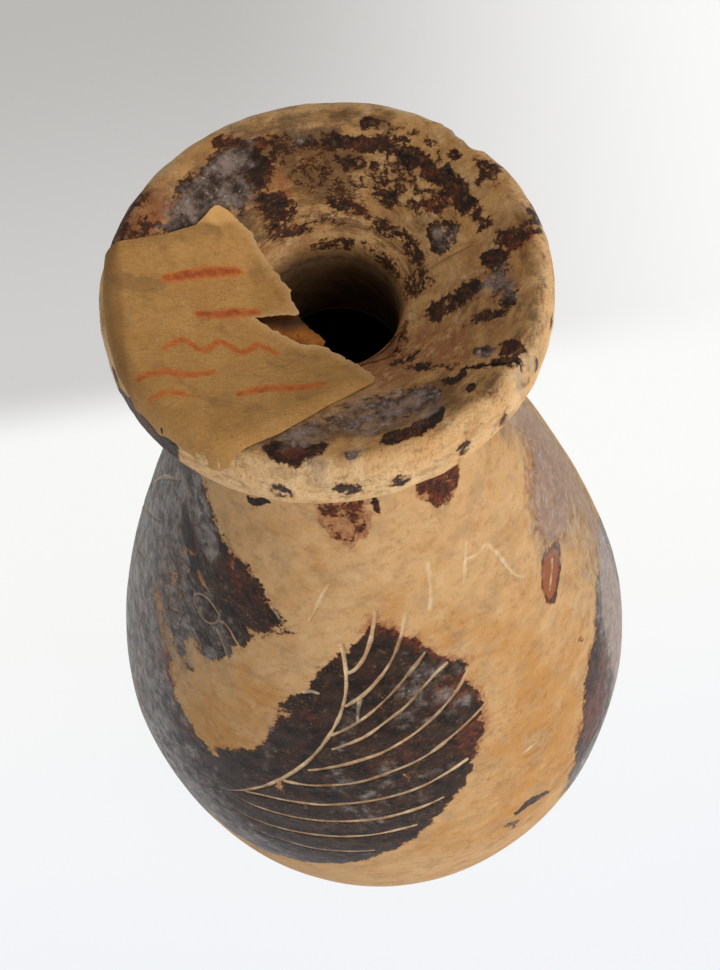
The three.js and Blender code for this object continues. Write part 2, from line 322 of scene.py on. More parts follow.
def made_by(tree, name, **values):
    """Points in millimetres and corner lists of the plain mesh that a tree makes from named inputs."""
    worker = placed(name + "_worker", bpy.data.meshes.new(name + "_worker"))
    step = worker.modifiers.new("make", "NODES")
    step.node_group = tree
    for item in tree.interface.items_tree:
        if item.in_out == "INPUT" and item.name in values:
            step[item.identifier] = values[item.name]
    bpy.context.view_layer.update()
    mesh = bpy.data.meshes.new_from_object(worker.evaluated_get(bpy.context.evaluated_depsgraph_get()))
    worker.modifiers.remove(step)
    bpy.data.objects.remove(worker)
    points = np.empty(len(mesh.vertices) * 3)
    mesh.vertices.foreach_get("co", points)
    corners = [tuple(face.vertices) for face in mesh.polygons]
    bpy.data.meshes.remove(mesh)
    return points.reshape(-1, 3) * 1000, corners


def drawn_line(name, points):
    """A bare line through points in millimetres, for a tree to follow."""
    line = bpy.data.curves.new(name, "CURVE")
    line.dimensions = "3D"
    run = line.splines.new("POLY")
    run.points.add(len(points) - 1)
    for knot, point in zip(run.points, points):
        knot.co = (*(value / 1000 for value in point), 1)
    return placed(name, line)


wheel = wheel_tree()


def turned(name, outline, steps):
    """Points in millimetres and corner lists of a piece turned from its outline of (radius, height)."""
    line = drawn_line(name + "_outline", [(radius, 0, height) for radius, height in outline])
    points, faces = made_by(wheel, name, **{"Outline": line, "Turn Steps": steps})
    bpy.data.objects.remove(line)
    # each square becomes two triangles whose first side is the diagonal
    corners = [face for face in faces if len(face) == 3]
    for a, b, c, d in (face for face in faces if len(face) == 4):
        corners += [(b, d, a), (d, b, c)]
    corners = np.array(corners)
    a, b, c = (points[corners[:, side]] for side in range(3))
    inside_out = (a * np.cross(b, c)).sum() < 0
    return points, corners[:, [1, 0, 2]] if inside_out else corners


def finer(points, corners, wanted, rounds):
    """Halves the triangles that are longer than wanted, and their neighbours where an edge is shared."""
    for _ in range(rounds):
        ends = np.sort(corners[:, [[0, 1], [1, 2], [2, 0]]], axis=2)
        keys, side = np.unique(ends[..., 0] * len(points) + ends[..., 1], return_inverse=True)
        side = side.reshape(-1, 3)
        first, second = keys // len(points), keys % len(points)
        middle = (points[first] + points[second]) / 2
        length = np.linalg.norm(points[first] - points[second], axis=1)
        cut = np.zeros(len(keys), bool)
        longest = np.unique(side[:, 0])
        cut[longest[length[longest] > wanted(middle[longest])]] = True
        while True:
            forced = (cut[side[:, 1]] | cut[side[:, 2]]) & ~cut[side[:, 0]]
            if not forced.any():
                break
            cut[side[forced, 0]] = True
        added = np.cumsum(cut) - 1 + len(points)
        points = np.concatenate([points, middle[cut]])
        split = cut[side[:, 0]]
        result, parent, mine = [corners[~split]], corners[split], side[split]
        top = added[mine[:, 0]]
        for start, end, edge in ((2, 0, 2), (1, 2, 1)):
            child = np.stack([parent[:, start], parent[:, end], top], 1)
            again = cut[mine[:, edge]]
            half, one = added[mine[again, edge]], child[again]
            result += [child[~again], np.stack([one[:, 2], one[:, 0], half], 1),
                       np.stack([one[:, 1], one[:, 2], half], 1)]
        corners = np.concatenate(result)
    return points, corners


def flowing(points, closed=False, parts=4):
    """A hand's smooth line through a few points."""
    knots = [points[-1], *points, points[0], points[1]] if closed else [points[0], *points, points[-1]]
    knots = np.array(knots, float)
    line = []
    for a, b, c, d in zip(knots, knots[1:], knots[2:], knots[3:]):
        for share in np.arange(parts) / parts:
            line.append(b + 0.5 * share * (c - a + share
                                           * (2 * a - 5 * b + 4 * c - d + share * (3 * (b - c) + d - a))))
    return line if closed else line + [knots[-1]]


def distance_to(line, across, along, stretch, reach=1.5):
    """How far points lie from a line, in millimetres, up to a reach."""
    least = np.full(len(across), float(reach))
    line = np.array(line)
    low, high = line.min(0), line.max(0)
    near = (along > low[1] - reach) & (along < high[1] + reach)
    near &= ((across - high[0]) * stretch < reach) & ((low[0] - across) * stretch < reach)
    x, y, k, best = across[near], along[near], stretch[near], least[near]
    for (a, b), (c, d) in zip(line, line[1:]):
        from_x, from_y, run_x, run_y = (a - x) * k, b - y, (c - a) * k, d - b
        share = np.clip(-(from_x * run_x + from_y * run_y) / (run_x ** 2 + run_y ** 2 + 1e-9), 0, 1)
        best = np.minimum(best, np.hypot(from_x + share * run_x, from_y + share * run_y))
    least[near] = best
    return least


def depth_inside(outline, across, along, stretch, reach=1.5):
    """Distance to an outline, counted positive inside it and negative outside."""
    ring = list(outline) + [outline[0]]
    within = np.zeros(len(across), bool)
    for (a, b), (c, d) in zip(ring, ring[1:]):
        within ^= ((b > along) != (d > along)) & (across < (c - a) * (along - b) / (d - b + 1e-12) + a)
    distance = distance_to(ring, across, along, stretch, reach)
    return np.where(within, distance, -distance)


def brushed(areas, across, along, stretch):
    """Share of paint at each point, below nought outside it. Areas are (outline, share, softness of
    the edge), and one with a share below nought is worn away."""
    left = np.full(len(across), bare)
    for outline, share, soft in areas:
        depth = depth_inside(flowing(outline, closed=True, parts=3), across, along, stretch, soft * 1.1 + 0.1)
        cover = np.clip(0.5 + depth / soft, bare, 1)
        worn = 1 + share * np.clip(cover, 0, 1)
        left = np.maximum(left, cover * share) if share > 0 else np.where(left > 0, left * worn, left)
    return left


noise.seed_set(1)    # a fixed seed, so that every run wavers the same way


def tremble(points, amount):
    """Small sideways shifts, so that an outline wavers as flaking slip does."""
    broad, fine = [[noise.noise_vector(Vector(point) * pace) for point in points] for pace in (0.7, 1.9)]
    return amount * (np.array(broad) + 0.6 * np.array(fine))


def uneven(points, pace, octaves):
    """What hand, fire and wear leave uneven: a value for each point, at a pace per millimetre."""
    return np.array([noise.fractal(Vector(point) * pace, 1.0, 2.0, octaves) for point in points])


# Drawn on the unrolled side: degrees round from the front towards +X, millimetres up.
wing = [(1.5, 70), (-4.5, 68.3), (-9, 66.4), (-14, 65), (-18, 62.9), (-20.5, 61), (-26, 59.8), (-27.3, 58.3),
        (-28, 56.2), (-31, 53.2), (-33.5, 51), (-39, 49.3), (-46, 47.6), (-53, 47), (-58, 44), (-60, 36), (-54, 31),
        (-44, 29.4), (-33, 30), (-23, 31.6), (-13, 33.6), (-5, 36.4), (2, 38.9), (6, 41.2), (10.5, 43.5),
        (14.5, 45.6), (17.4, 47.2), (18, 49.2), (22.3, 50.8), (24.2, 52.5), (23.4, 54.2), (25.2, 56), (23.9, 58.5),
        (22.2, 60.2), (25, 62), (20, 62.7), (18, 64.2), (13, 66.3), (7.5, 68.2)]
feathers = [
    [(-9.7, 67.2), (-9.3, 64.5), (-9.4, 62.5), (-10.3, 60.5), (-12, 58.2), (-15.3, 55.3), (-18, 53.2), (-21, 51.2),
     (-26.5, 48.1), (-33, 44.9), (-41, 41.6), (-46, 40.2)],
    [(-8.8, 63.8), (-6.5, 64.3), (-4, 65.5), (-2, 67), (-0.5, 68.6), (1.2, 70.4)],
    [(-10, 59.8), (-6, 60.9), (-2, 62.3), (1.5, 63.8), (4.5, 65.4), (7, 67), (9.8, 69.2)],
    [(-14, 55.9), (-9.5, 57), (-3.5, 59), (0, 60.2), (4, 61.6), (8, 63), (12.8, 64.6)],
    [(-14, 53.9), (-10, 54.8), (-5.5, 55.9), (0, 57.6), (5, 59), (10, 60.6), (14, 61.7), (18, 62.4)],
    [(-20, 50.3), (-15, 51.2), (-8, 52.4), (-2, 53.4), (4, 54.8), (10, 56.3), (15, 57.7), (19, 58.9), (23, 60.4)],
    [(-26, 47.7), (-20, 48), (-15, 48.5), (-8, 49.3), (-2, 50.3), (5, 51.3), (10, 52.2), (15, 53.4), (25, 55.4)],
    [(-36, 43.3), (-30, 44.2), (-18, 45.1), (-12, 45.7), (0, 46.8), (6, 47.5), (11, 48.3), (17, 49.3)],
    [(-40, 41.3), (-32, 41.5), (-18, 42.3), (-5, 43.2), (5, 44.2), (10, 44.8)],
    [(-42, 38.6), (-34, 38.5), (-20, 39.2), (-12, 39.8), (-5, 40.4), (3, 41.2)],
    [(-34, 36), (-26, 36.1), (-18, 36.2), (-7, 37)],
]
head = [(-25, 68), (-28.5, 67.6), (-31, 66.8), (-34, 66.2), (-38, 66), (-39.5, 65), (-40, 63.9), (-43.5, 62),
        (-45, 60.9), (-50, 59.8), (-52.5, 59.3), (-53, 57.5), (-54.5, 55.8), (-58, 55.6), (-61, 54), (-61, 52),
        (-58, 50), (-54, 48.6), (-49, 47), (-48, 40), (-50, 29), (-65, 28), (-90, 30), (-112, 36), (-121, 46),
        (-119, 55), (-112, 64), (-104, 71), (-96, 75.5), (-84, 77.4), (-72, 77), (-60, 75.4), (-51, 73.9), (-42, 73),
        (-35, 71.8), (-30, 70.2)]
cheek = [(-64, 69.2), (-60, 69.4), (-55, 68.4), (-50, 68), (-44, 68), (-40, 67.5), (-38, 66.2), (-36, 65.4),
         (-40, 64), (-42, 62.6), (-45, 61), (-48, 60), (-51, 60), (-55, 60.2), (-58, 62), (-61, 62.6), (-63, 64),
         (-63, 66.5)]
slit = [(-75.4, 71.9), (-73.3, 72.1), (-69.2, 71.7), (-65.1, 70.7), (-62.3, 69.9), (-59, 69.3), (-56, 68.7),
        (-53.6, 68.1), (-54.7, 67.7), (-57.3, 67.9), (-60.7, 68.2), (-64.6, 68.6), (-67.8, 69.2), (-71.8, 70),
        (-74.8, 71.2)]
head_cuts = [
    [(-50.5, 64), (-53.3, 63.8), (-56, 64.2), (-58, 64.7), (-58.2, 65.5), (-55.9, 66.2), (-52.9, 66.4), (-50, 66.1),
     (-48, 65.6), (-48.6, 64.7), (-50.5, 64)],
    [(-46.5, 65.3), (-44, 65), (-41.7, 64.2), (-39.9, 63.6)],
    [(-48, 63.9), (-46.2, 63.1), (-44.1, 62.1), (-42.6, 61)],
    [(-48.8, 61.8), (-47.3, 61), (-46.3, 60.2)],
    [(-57.2, 61.4), (-54.6, 61.1), (-52.5, 60.4)],
    [(-66.6, 60.4), (-62.3, 61.6), (-60.6, 60.8), (-62.1, 59)],
]
haunch_cuts = [[(90, 30), (96, 34), (99, 40), (96, 45)], [(103, 37), (110, 41), (116, 46.6)], [(100, 25), (103, 17)],
               [(85, 48), (91, 44), (94, 38)],
               [(-82, 73), (-95, 68), (-103, 62)], [(-84, 66), (-98, 60.5), (-109, 54)],
               [(-85, 59), (-100, 53.4), (-114, 48)],
               [(-86, 51.6), (-100, 46.4), (-114, 42)], [(-84, 44.4), (-98, 40), (-110, 37.4)]]
amber_spots = [[(-66.4, 69.2), (-63.1, 69.9), (-62, 69.4), (-64.3, 68.7)],
               [(-59.6, 68.4), (-57.6, 68.6), (-53, 67.5), (-54.3, 67.2), (-58, 67.8)]]
hind = [(43.2, 27), (41.8, 31), (42, 33.5), (43.8, 37.4), (47.2, 39.8), (49.7, 42.8), (52.7, 45.2), (56.8, 47.1),
        (63.3, 48.3), (70.6, 50.4), (78, 51.2), (88, 50), (98, 46), (104, 42), (110, 43.6), (116, 48.6), (119, 48),
        (117, 42), (111, 36), (105, 31), (104, 24), (107, 17), (104, 14.6), (99, 18), (95, 25), (84, 23), (60, 22),
        (47, 24)]
muzzle = [(60.4, 64.4), (63, 66.4), (65.6, 68), (71.4, 68.7), (78, 69.5), (80, 71.6), (84, 74.6), (96, 74), (108, 68),
          (114, 60), (108, 50), (94, 44), (84, 46), (74, 51.2), (80, 53.2), (84, 55), (82.6, 57.6), (78, 60.2),
          (75, 59.8), (71, 60.2), (66.6, 61.6), (62, 63.4)]
drop = [(60.1, 63.9), (56.9, 63.6), (54.7, 63), (53.4, 62), (52.4, 60.9), (52.1, 59.9), (52.9, 59.1), (54.7, 58.7),
        (56.7, 58.9), (59.9, 59.7), (62.7, 60.4), (64.9, 61.2), (66.2, 62.2), (65.5, 62.7), (62.8, 63)]


# a bud with curled leaves and dot rosettes fills the back, below the handle
half_leaf = [(5, 40), (9, 47), (16, 52.5), (25, 54), (32, 50.5), (32, 45.5), (27, 43.6), (24, 46.6), (27.4, 48),
             (24, 50.4), (17, 48.6), (12, 42.6), (8, 36.5)]
half_tail = [(64, 40), (52, 36), (42, 33), (36, 27), (40, 23), (47, 24.6), (46, 28), (50, 31), (64, 34)]
dots = [(a + 5.2 * math.cos(turn), z + 2 * math.sin(turn)) for a, z in ((44, 60), (30, 67), (18, 29))
        for turn in np.radians(range(0, 360, 60))]
bud = [([(0, 63), (4, 57), (7, 48), (4, 39), (0, 35), (-4, 39), (-7, 48), (-4, 57)], 1.15), (half_leaf, 1.0),
       (half_tail, 0.9)]
bud += [([(a - 2, z), (a, z + 0.8), (a + 2, z), (a, z - 0.8)], 0.95) for a, z in dots]
bud += [([(-across, along) for across, along in outline[::-1]], share) for outline, share in bud[1:]]
bud_cuts = [[(3, 57), (5, 48), (2.6, 40)], [(8, 40), (14, 49), (24, 52)],
            [(62, 36.6), (50, 33.4), (43, 30), (41, 26)]]
bud_cuts += [[(-across, along) for across, along in line] for line in bud_cuts] + [[(0, 60), (0, 37)]]


def round_by(degrees, points):
    return [(across + degrees, along) for across, along in points]


slip_areas = [
    (wing, 1.25, 1.3), (head, 0.8, 1.6), (cheek, 1.1, 0.9), (slit, 1.4, 0.5), (hind, 0.8, 2.2), (muzzle, 0.3, 2.4),
    ([(83.8, 69.9), (87.1, 68.5), (86.7, 67.3), (83.3, 67.2), (78.8, 68.8), (80.7, 69.6)], 0.62, 1.2),
    ([(78.8, 64.2), (80.8, 62.8), (76.9, 62.5), (74.2, 63.6)], 0.56, 1.2),
    ([(69.2, 67.3), (71.6, 66.9), (70.4, 66.1)], 0.8, 0.5), ([(67.2, 66.6), (69.2, 66.4), (68.3, 65.4)], 0.7, 0.5),
    ([(65.2, 64.1), (67.4, 63.9), (66, 63)], 0.8, 0.5),
    ([(-70, 77), (-60, 75), (-52, 73.8), (-42, 73), (-34, 71.4), (-26, 68), (-34, 68.4), (-48, 69.4), (-60, 72)],
     0.95, 1.4),
    ([(-62, 49), (-52, 47.6), (-46, 45), (-46, 34), (-58, 32.6), (-66, 40)], 1.2, 3.0),
    ([(-94, 66), (-78, 70), (-72, 60), (-78, 46), (-96, 42), (-106, 54)], 1.0, 5.0),
    # worn away again, where the share is below nought
    ([(-76.6, 59.1), (-73.4, 60.3), (-68.6, 58.9), (-64.4, 58), (-59, 56.9), (-56.6, 56), (-58, 54.4), (-62, 53.7),
      (-66.9, 54.7), (-71.7, 56.4)], -0.52, 1.8),
    ([(-71, 68), (-64.6, 68), (-63.4, 63), (-66, 61), (-71, 63)], -0.28, 2.4),
    ([(-47.6, 72.3), (-46.4, 72.8), (-45.4, 72.1), (-46.4, 71.5)], -0.7, 0.6),
    *[(spot, -0.8, 0.5) for spot in amber_spots],
    ([(-57, 59.6), (-54, 59.4), (-53.4, 57.4), (-55.6, 56.8)], -0.6, 1.0),
    ([(-3.4, 70.4), (2, 70.6), (5, 69.8), (2, 69), (-3, 69)], -0.35, 0.8),
    ([(8, 60.8), (12, 63.2), (13.4, 62.8), (10, 60.4)], -0.55, 1.2),
    ([(7, 57), (9.5, 57.4), (11.6, 55.6), (8, 55.4)], -0.45, 1.2),
    ([(1.6, 49.9), (3.8, 49.6), (4, 48.6), (2, 48.4)], -0.55, 0.8),
    ([(-29, 48), (-26, 47.6), (-25.6, 46), (-28.6, 46)], -0.6, 1.0),
    ([(-48, 47.7), (-44, 47.4), (-43, 46.4), (-46.6, 46.2)], -0.65, 0.8),
    ([(-27, 58.4), (-24.8, 58.6), (-23, 57.4), (-26, 57)], -0.5, 0.8),
    ([(-8, 66), (-2, 69), (5, 68), (12, 65.8), (18, 63.2), (24, 61.2), (26, 63), (18, 65.4), (8, 69.4), (-2, 71.4),
      (-9, 68)], -0.7, 0.7),
    ([(21.6, 60.4), (23.4, 57), (22.4, 53), (20, 50), (25.6, 50), (28, 56), (27, 62)], -0.66, 0.8),
    ([(-58.3, 59), (-55.2, 60.5), (-52.8, 59.3), (-53, 57.6), (-56.8, 57)], -0.5, 1.0),
    ([(-34, 49.6), (-29, 53), (-26, 57.6), (-24, 57), (-27, 52), (-32, 49)], -0.3, 1.0),
    # strokes of the brush beside the figures
    (drop, 0.95, 0.5), ([(60.9, 63.2), (57, 63), (54.7, 62.2), (53.4, 60.8), (53.5, 59.7), (55.6, 59.3), (59.1, 60.2),
                         (62.1, 61), (64.4, 61.9)], -0.93, 0.6),
    ([(26, 35.7), (28, 36.4), (31.5, 36.4), (34.6, 35.4), (35.2, 34.5), (33, 34.9), (30, 35.2), (27.4, 35)], 1.1,
     0.7),
    ([(23.4, 34), (25, 34.4), (26.8, 33), (27, 31.4), (25.6, 31), (24.2, 32.2)], 0.66, 1.2),
    ([(56.6, 51), (57.8, 51), (59, 50.2), (58, 50)], 0.8, 0.5),
    ([(-46.8, 79.3), (-40, 80.4), (-35.4, 80.5), (-38, 79.6), (-42, 79)], 1.2, 0.4),
    ([(-30.4, 66.3), (-27, 67), (-24, 67.7), (-21, 68.2), (-24, 68.2), (-28, 67.8)], 0.7, 0.5),
    ([(-45.5, 64.8), (-40.6, 65.9), (-38.7, 64.6), (-42, 63), (-44.9, 63)], 1.15, 0.9),
    ([(6, 81.6), (8.6, 81.6), (8.4, 80.3), (7.2, 79.9), (6.2, 80.5)], 0.9, 0.4),
]
slip_areas += [(round_by(180, outline), share, 1.0) for outline, share in bud]
red_areas = [
    ([(-52, 72.1), (-47.1, 73.1), (-42.3, 72.8), (-36.4, 71.5), (-34, 70), (-39.3, 69.8), (-45.4, 69.8),
      (-49.8, 70.5)], 0.62, 1.6),
    *[(spot, 0.9, 0.5) for spot in amber_spots],
    ([(-47.6, 72.3), (-46.4, 72.8), (-45.4, 72.1), (-46.4, 71.5)], 1.4, 0.5),
    ([(-68, 54.4), (-62, 54.6), (-58.6, 52.6), (-60, 50), (-66, 50), (-70, 52)], 0.8, 2.4),
    ([(-82, 58), (-74, 62), (-70, 60), (-74, 54), (-84, 50)], 0.5, 3.0),
    ([(-58, 47.6), (-50, 47.6), (-50, 46.4), (-57, 46)], 0.7, 1.0),
    (drop, 2.3, 0.4), ([(47.4, 41.6), (46.6, 37.5), (49, 34.6), (56, 35.6), (63, 39), (69.6, 44), (66, 45.2),
                        (58, 43.4)], 0.85, 1.8),
    ([(62, 69), (80, 73), (92, 72), (90, 60), (64, 62)], 0.75, 3.0),
    ([(70, 47), (84, 47), (86, 40), (74, 40)], 0.55, 3.0),
    (slit, 0.5, 0.8), ([(13, 61.6), (19, 61), (24, 59.6), (22, 57.4), (14, 57.6)], 0.75, 1.4),
    ([(15, 54), (24, 54.4), (23.6, 51), (16, 50.6)], 0.75, 1.2),
    ([(-6, 68.6), (0, 70.4), (6, 69.2), (13, 66.6), (19, 63.6), (25, 62.3), (24, 61.2), (18, 62.2), (12, 64.8),
      (5, 67.2), (-2, 68.4)], 0.8, 1.1),
    ([(-3, 54), (6, 56), (8, 53), (0, 51)], 0.45, 2.0), ([(-24, 58.8), (-20, 59.6), (-16, 58), (-22, 57)], 0.5, 1.0),
    ([(22.4, 60.4), (25.4, 57), (24.6, 53), (22, 50.6), (18, 49), (21, 52), (23, 56)], 0.8, 0.9),
    (round_by(180, [(-4, 56), (4, 56), (5, 44), (0, 38), (-5, 44)]), 1.0, 1.4),
]
# a grey film on the slip, partly real bloom and partly a painted sheen, broadest on the left flank where glossy slip
# catches the light
film_areas = [
    ([(-64, 76), (-60, 66), (-62, 55), (-54, 46), (-44, 40), (-36, 32), (-80, 30), (-102, 36), (-106, 66), (-86, 78)],
     0.85, 9.0),
    ([(-85, 72.2), (-72.5, 75.9), (-64, 75.5), (-56.5, 74.3), (-52.5, 72.5), (-55.5, 70.2), (-60.5, 70.6),
      (-66.2, 71.5), (-73.5, 72.8)], 0.9, 1.4),
    ([(-64.1, 60.9), (-57.8, 63.6), (-55.8, 62.2), (-59.5, 59.5), (-62.7, 59.1)], 0.8, 1.6),
    ([(-64, 68), (-50, 67.4), (-41, 64), (-44, 60), (-54, 58), (-64, 62)], 0.6, 3.0),
    ([(6, 66), (20, 62), (22, 57), (10, 55), (2, 60)], 0.42, 3.0),
    ([(-20, 50), (-4, 52), (10, 51), (4, 44), (-16, 42)], 0.3, 3.0),
    ([(-66, 60.4), (-58, 61), (-54, 58.6), (-55, 55.6), (-62, 55.6)], 0.75, 2.4),
    ([(-58, 63.4), (-52, 63), (-50, 61), (-57, 60.8)], 0.7, 1.4),
    ([(62, 67.4), (80, 72), (96, 74), (108, 62), (92, 40), (60, 24), (42, 27), (43, 32), (56, 34), (70, 42), (66, 48),
      (72, 58), (60, 64)], 0.95, 5.0),
    ([(-13.6, 55.6), (-8, 57), (-7, 60.4), (-9.6, 60), (-12, 57)], 0.5, 1.0),
    ([(-14, 53.8), (-11, 54.4), (-9, 55.6), (-12.6, 55.4)], 0.75, 0.8),
    ([(-31, 56), (-28.4, 56), (-27, 52), (-30, 49), (-32, 52)], 0.45, 1.4),
    ([(16, 58.4), (21.6, 58.6), (22.6, 56.6), (17, 56.4)], 0.5, 1.2),
    # the film and its painted sheen are thickest over the worn figure at the right, and the slit by the eye is free
    # of them
    ([(74, 77), (80.4, 72.6), (79, 70.4), (73, 69.8), (66.4, 69.4), (62, 67.3), (60.4, 65.6), (58.8, 64.2),
      (62.6, 62.9), (67, 61.8), (69, 60.4), (73.6, 59.4), (76.9, 59.6), (80.6, 58.3), (82.4, 56), (82, 53.6),
      (77, 51.2), (71, 49.6), (67, 47), (64, 42), (62, 34), (68, 28), (84, 32), (90, 44), (98, 54), (104, 66),
      (94, 77)], 1.6, 3.4),
    ([(-76.6, 59.1), (-68.6, 58.9), (-59, 56.9), (-56.6, 56), (-58, 54.4), (-66.9, 54.7)], 1.2, 1.6),
    (slit, -0.97, 0.6),
]
# warmer, darker clay: a real orange cloud at the front right, and painted shade in the hollow between the head and
# the wing
warm_areas = [([(4, 68), (30, 67), (46, 62), (52, 50), (44, 36), (24, 30), (8, 36), (26, 50), (24, 62)], 0.75, 9.0),
              ([(-46, 57), (-30, 62), (-26, 58), (-32, 50), (-50, 48)], 0.7, 5.0)]
# tongues hang from the neck all round, a broad red one between two narrow dark ones
front_tongue = [(-16.5, 82), (4, 82), (3.7, 79.6), (2.8, 78), (0.6, 77.6), (-1, 78.3), (-2.5, 77.5), (-4.2, 76.7),
                (-6, 77.5), (-9, 77.8), (-11.5, 78.3), (-13.5, 79.2), (-15.8, 80.2)]
right_tongue = [(24.8, 80.4), (26, 82), (44.5, 82), (45.2, 79.8), (44, 79.2), (42.5, 78.4), (38, 77.9), (35, 77.5),
                (34, 78.2), (31.5, 78), (30, 78.4), (28, 79.3), (26, 79.6)]
gaps = [([(-14.5, 80.1), (-9, 80), (-5, 80.1), (-4, 79.6), (-9, 79.4), (-13, 79.5)], -0.8, 0.4),
        ([(-8.6, 79.2), (-4, 79.4), (-2, 79), (-3.4, 78.5), (-7.6, 78.6)], -0.8, 0.4),
        ([(26, 80.2), (29.6, 80), (28.6, 79.4)], -0.8, 0.4)]
slip_areas += [(front_tongue, 0.56, 0.9), (right_tongue, 0.82, 0.7), *gaps]
red_areas += [(front_tongue, 1.3, 0.4), (right_tongue, 1.2, 0.4)]
for count in range(6):
    broad = round_by(75 + 40 * count, [(-9, 83), (9, 83), (9.4, 79.6), (6, 78.2), (1, 77.4), (-5, 78), (-8.6, 79.6)])
    narrow = round_by(75 + 40 * count, [(12, 83), (16, 83), (15.2, 80.6), (13.4, 79.8), (12.2, 80.8)])
    slip_areas += [(broad, 0.85, 0.5), (narrow, 0.95, 0.5)]
    red_areas.append((broad, 1.1, 0.5))
scratches = [
    [(-7.4, 57.9), (-6.9, 59.4), (-6.3, 60.5)],
    [(-19.2, 69.6), (-16.8, 70.9), (-15.1, 72.3), (-12.6, 73.5)], [(-31.2, 69.9), (-28.8, 69.2), (-26.8, 68.1)],
    [(17.5, 69), (19.5, 71), (21, 73.5)], [(-21, 61), (-19, 61.3), (-17, 61.2)],
    [(34, 71.6), (38, 71.2), (42, 71.2), (44, 69.8), (45.2, 68), (46.5, 66), (48.8, 64.8)],
    [(30, 69.6), (33, 71.4), (36, 73)],
    [(30.8, 45.2), (33.1, 45.2), (35, 45.1)], [(60.6, 62.1), (57.4, 61.1), (54.9, 60.2)],
]
cuts = feathers + head_cuts + haunch_cuts + [round_by(180, line) for line in bud_cuts]
cut_lines = [flowing(line) for line in cuts]
scratch_lines = [flowing(line) for line in scratches]
slip_edges = [flowing(outline, closed=True, parts=2) for outline, *_ in slip_areas]


def from_axis(points):
    return np.hypot(points[:, 0], points[:, 1])


def unrolled(points):
    """Degrees round, millimetres up and millimetres to a degree, for points on the body."""
    across = np.degrees(np.arctan2(points[:, 0], -points[:, 1]))
    return across, points[:, 2], np.radians(from_axis(points)) + 1e-6


def nearest_of(lines, across, along, stretch, reach):
    """Distance to the nearest of some lines, which may run past the back seam either way."""
    least = np.full(len(across), float(reach))
    for line in lines:
        line = np.array(line)
        for shift in (-360, 0, 360):
            if line[:, 0].max() + shift > -185 and line[:, 0].min() + shift < 185:
                moved = line + (shift, 0)
                least = np.minimum(least, distance_to(moved, across, along, stretch, reach))
    return least


def side_detail(points):
    """Longest side a triangle may have: short along the cuts, middling along the painted edges."""
    across, along, stretch = unrolled(points)
    outer = from_axis(points) > side_radius(along) - skin
    cut = nearest_of(cut_lines + scratch_lines, across, along, stretch, 0.9)
    edge = nearest_of([list(line) + [line[0]] for line in slip_edges], across, along, stretch, 0.9)
    front = np.abs(across) < 95
    wanted = np.where(edge < 0.5, np.where(front, 0.42, 0.7), 2.0)
    wanted = np.where(cut < 0.4, np.where(front, 0.18, 0.3), wanted)
    return np.where(outer & (along > 1), wanted, 9.0)


body_outline = stepped([(0, 0.9), (3.3, 0.9), (3.9, 0.55), (4.3, 0.12), (4.7, 0), (8.1, 0)], 0.7)
body_outline += along_side(0.12, shoulder_height - 0.1, 0.72)
body_outline += stepped([(neck_radius + 0.1, shoulder_height), (socket_radius, shoulder_height),
                         (socket_radius, ledge_height), (bore_radius, ledge_height)], 1.2)
body_outline += along_side(belly_height, cavity_top, 2.2, wall)[::-1]
body_outline += [((belly_radius - wall) * math.cos(turn),
                  belly_height - (belly_height - floor_height) * math.sin(turn))
                 for turn in np.linspace(0.08, math.pi / 2, 18)]
body_outline[-1] = (0, floor_height)

body_points, body_corners = turned("body", body_outline, 208)
body_points, body_corners = finer(body_points, body_corners, side_detail, 7)

across, along, stretch = unrolled(body_points)
radius = from_axis(body_points)
outer = (radius > side_radius(along) - skin) & (along > 0.3) & (along < shoulder_height - 0.2)
uneven_hand = uneven(body_points, 0.5, 2)
left_of_wing = np.where(along < 50, np.clip((across + 60) / 30, 0.5, 1), np.clip((across + 58) / 22, 0.55, 1))
fading = np.where(np.abs(across) < 90, left_of_wing, 1)
faint = np.where(across < -78, 0.9, np.clip(0.3 + (along - 34) / 22 + (across + 30) / 90, 0.32, 1))


def cut_by(lines, half_width):
    """How deep the point went at each spot of the body, 1 in the middle of a stroke."""
    far = nearest_of(lines, across, along, stretch, 0.9)
    return np.clip(1 - far / half_width, 0, 1) * outer


groove = faint * cut_by(cut_lines, 0.215 * (1 + 0.6 * uneven_hand) * fading)
scratched = cut_by(scratch_lines, 0.24 * (1 + 0.8 * uneven_hand))
shake = tremble(body_points, 0.42)
wrapped = [(across + shake[:, 0] / stretch + shift, along + shake[:, 1], stretch) for shift in (0, 360)]
slip_left, red_left, film_left, warm_left = [
    np.where(outer, np.maximum(*[brushed(areas, *place) for place in wrapped]), bare)
    for areas in (slip_areas, red_areas, film_areas, warm_areas)]

# the wheel and the hand leave faint rings, soft dents and a slightly uneven round
ripple = np.array([noise.noise((0.3, 7.1, height * 0.55)) for height in along])
dents = uneven(body_points, 0.06, 3)
swell = (0.035 * ripple + 0.16 * dents) * outer
facing, right = np.clip(1 + np.cos(np.radians(across)), 0, 1), np.clip(np.sin(np.radians(across)), 0, 1)
for height, reach, bulge in ((60, 18, 0.36 * facing), (42, 12, 0.14), (37.5, 8, 0.28 * right)):
    swell += bulge * np.exp(-((along - height) / reach) ** 2) * outer
swell += (0.02 * np.clip(slip_left, 0, 1) - 0.13 * groove ** 0.7 - 0.07 * scratched) * outer
true_radius = np.where(outer, side_radius(along) + swell, radius)
body_points[:, :2] *= (true_radius / np.maximum(radius, 1e-6))[:, None]


def shaped(name, points, corners, material, sharp):
    """A piece from points in millimetres, smooth but for edges over a sharp angle in degrees."""
    mesh = bpy.data.meshes.new(name)
    mesh.from_pydata((points / 1000).tolist(), [], corners)
    mesh.materials.append(material)
    mesh.shade_smooth()
    mesh.set_sharp_from_angle(angle=math.radians(sharp))
    return placed(name, mesh)


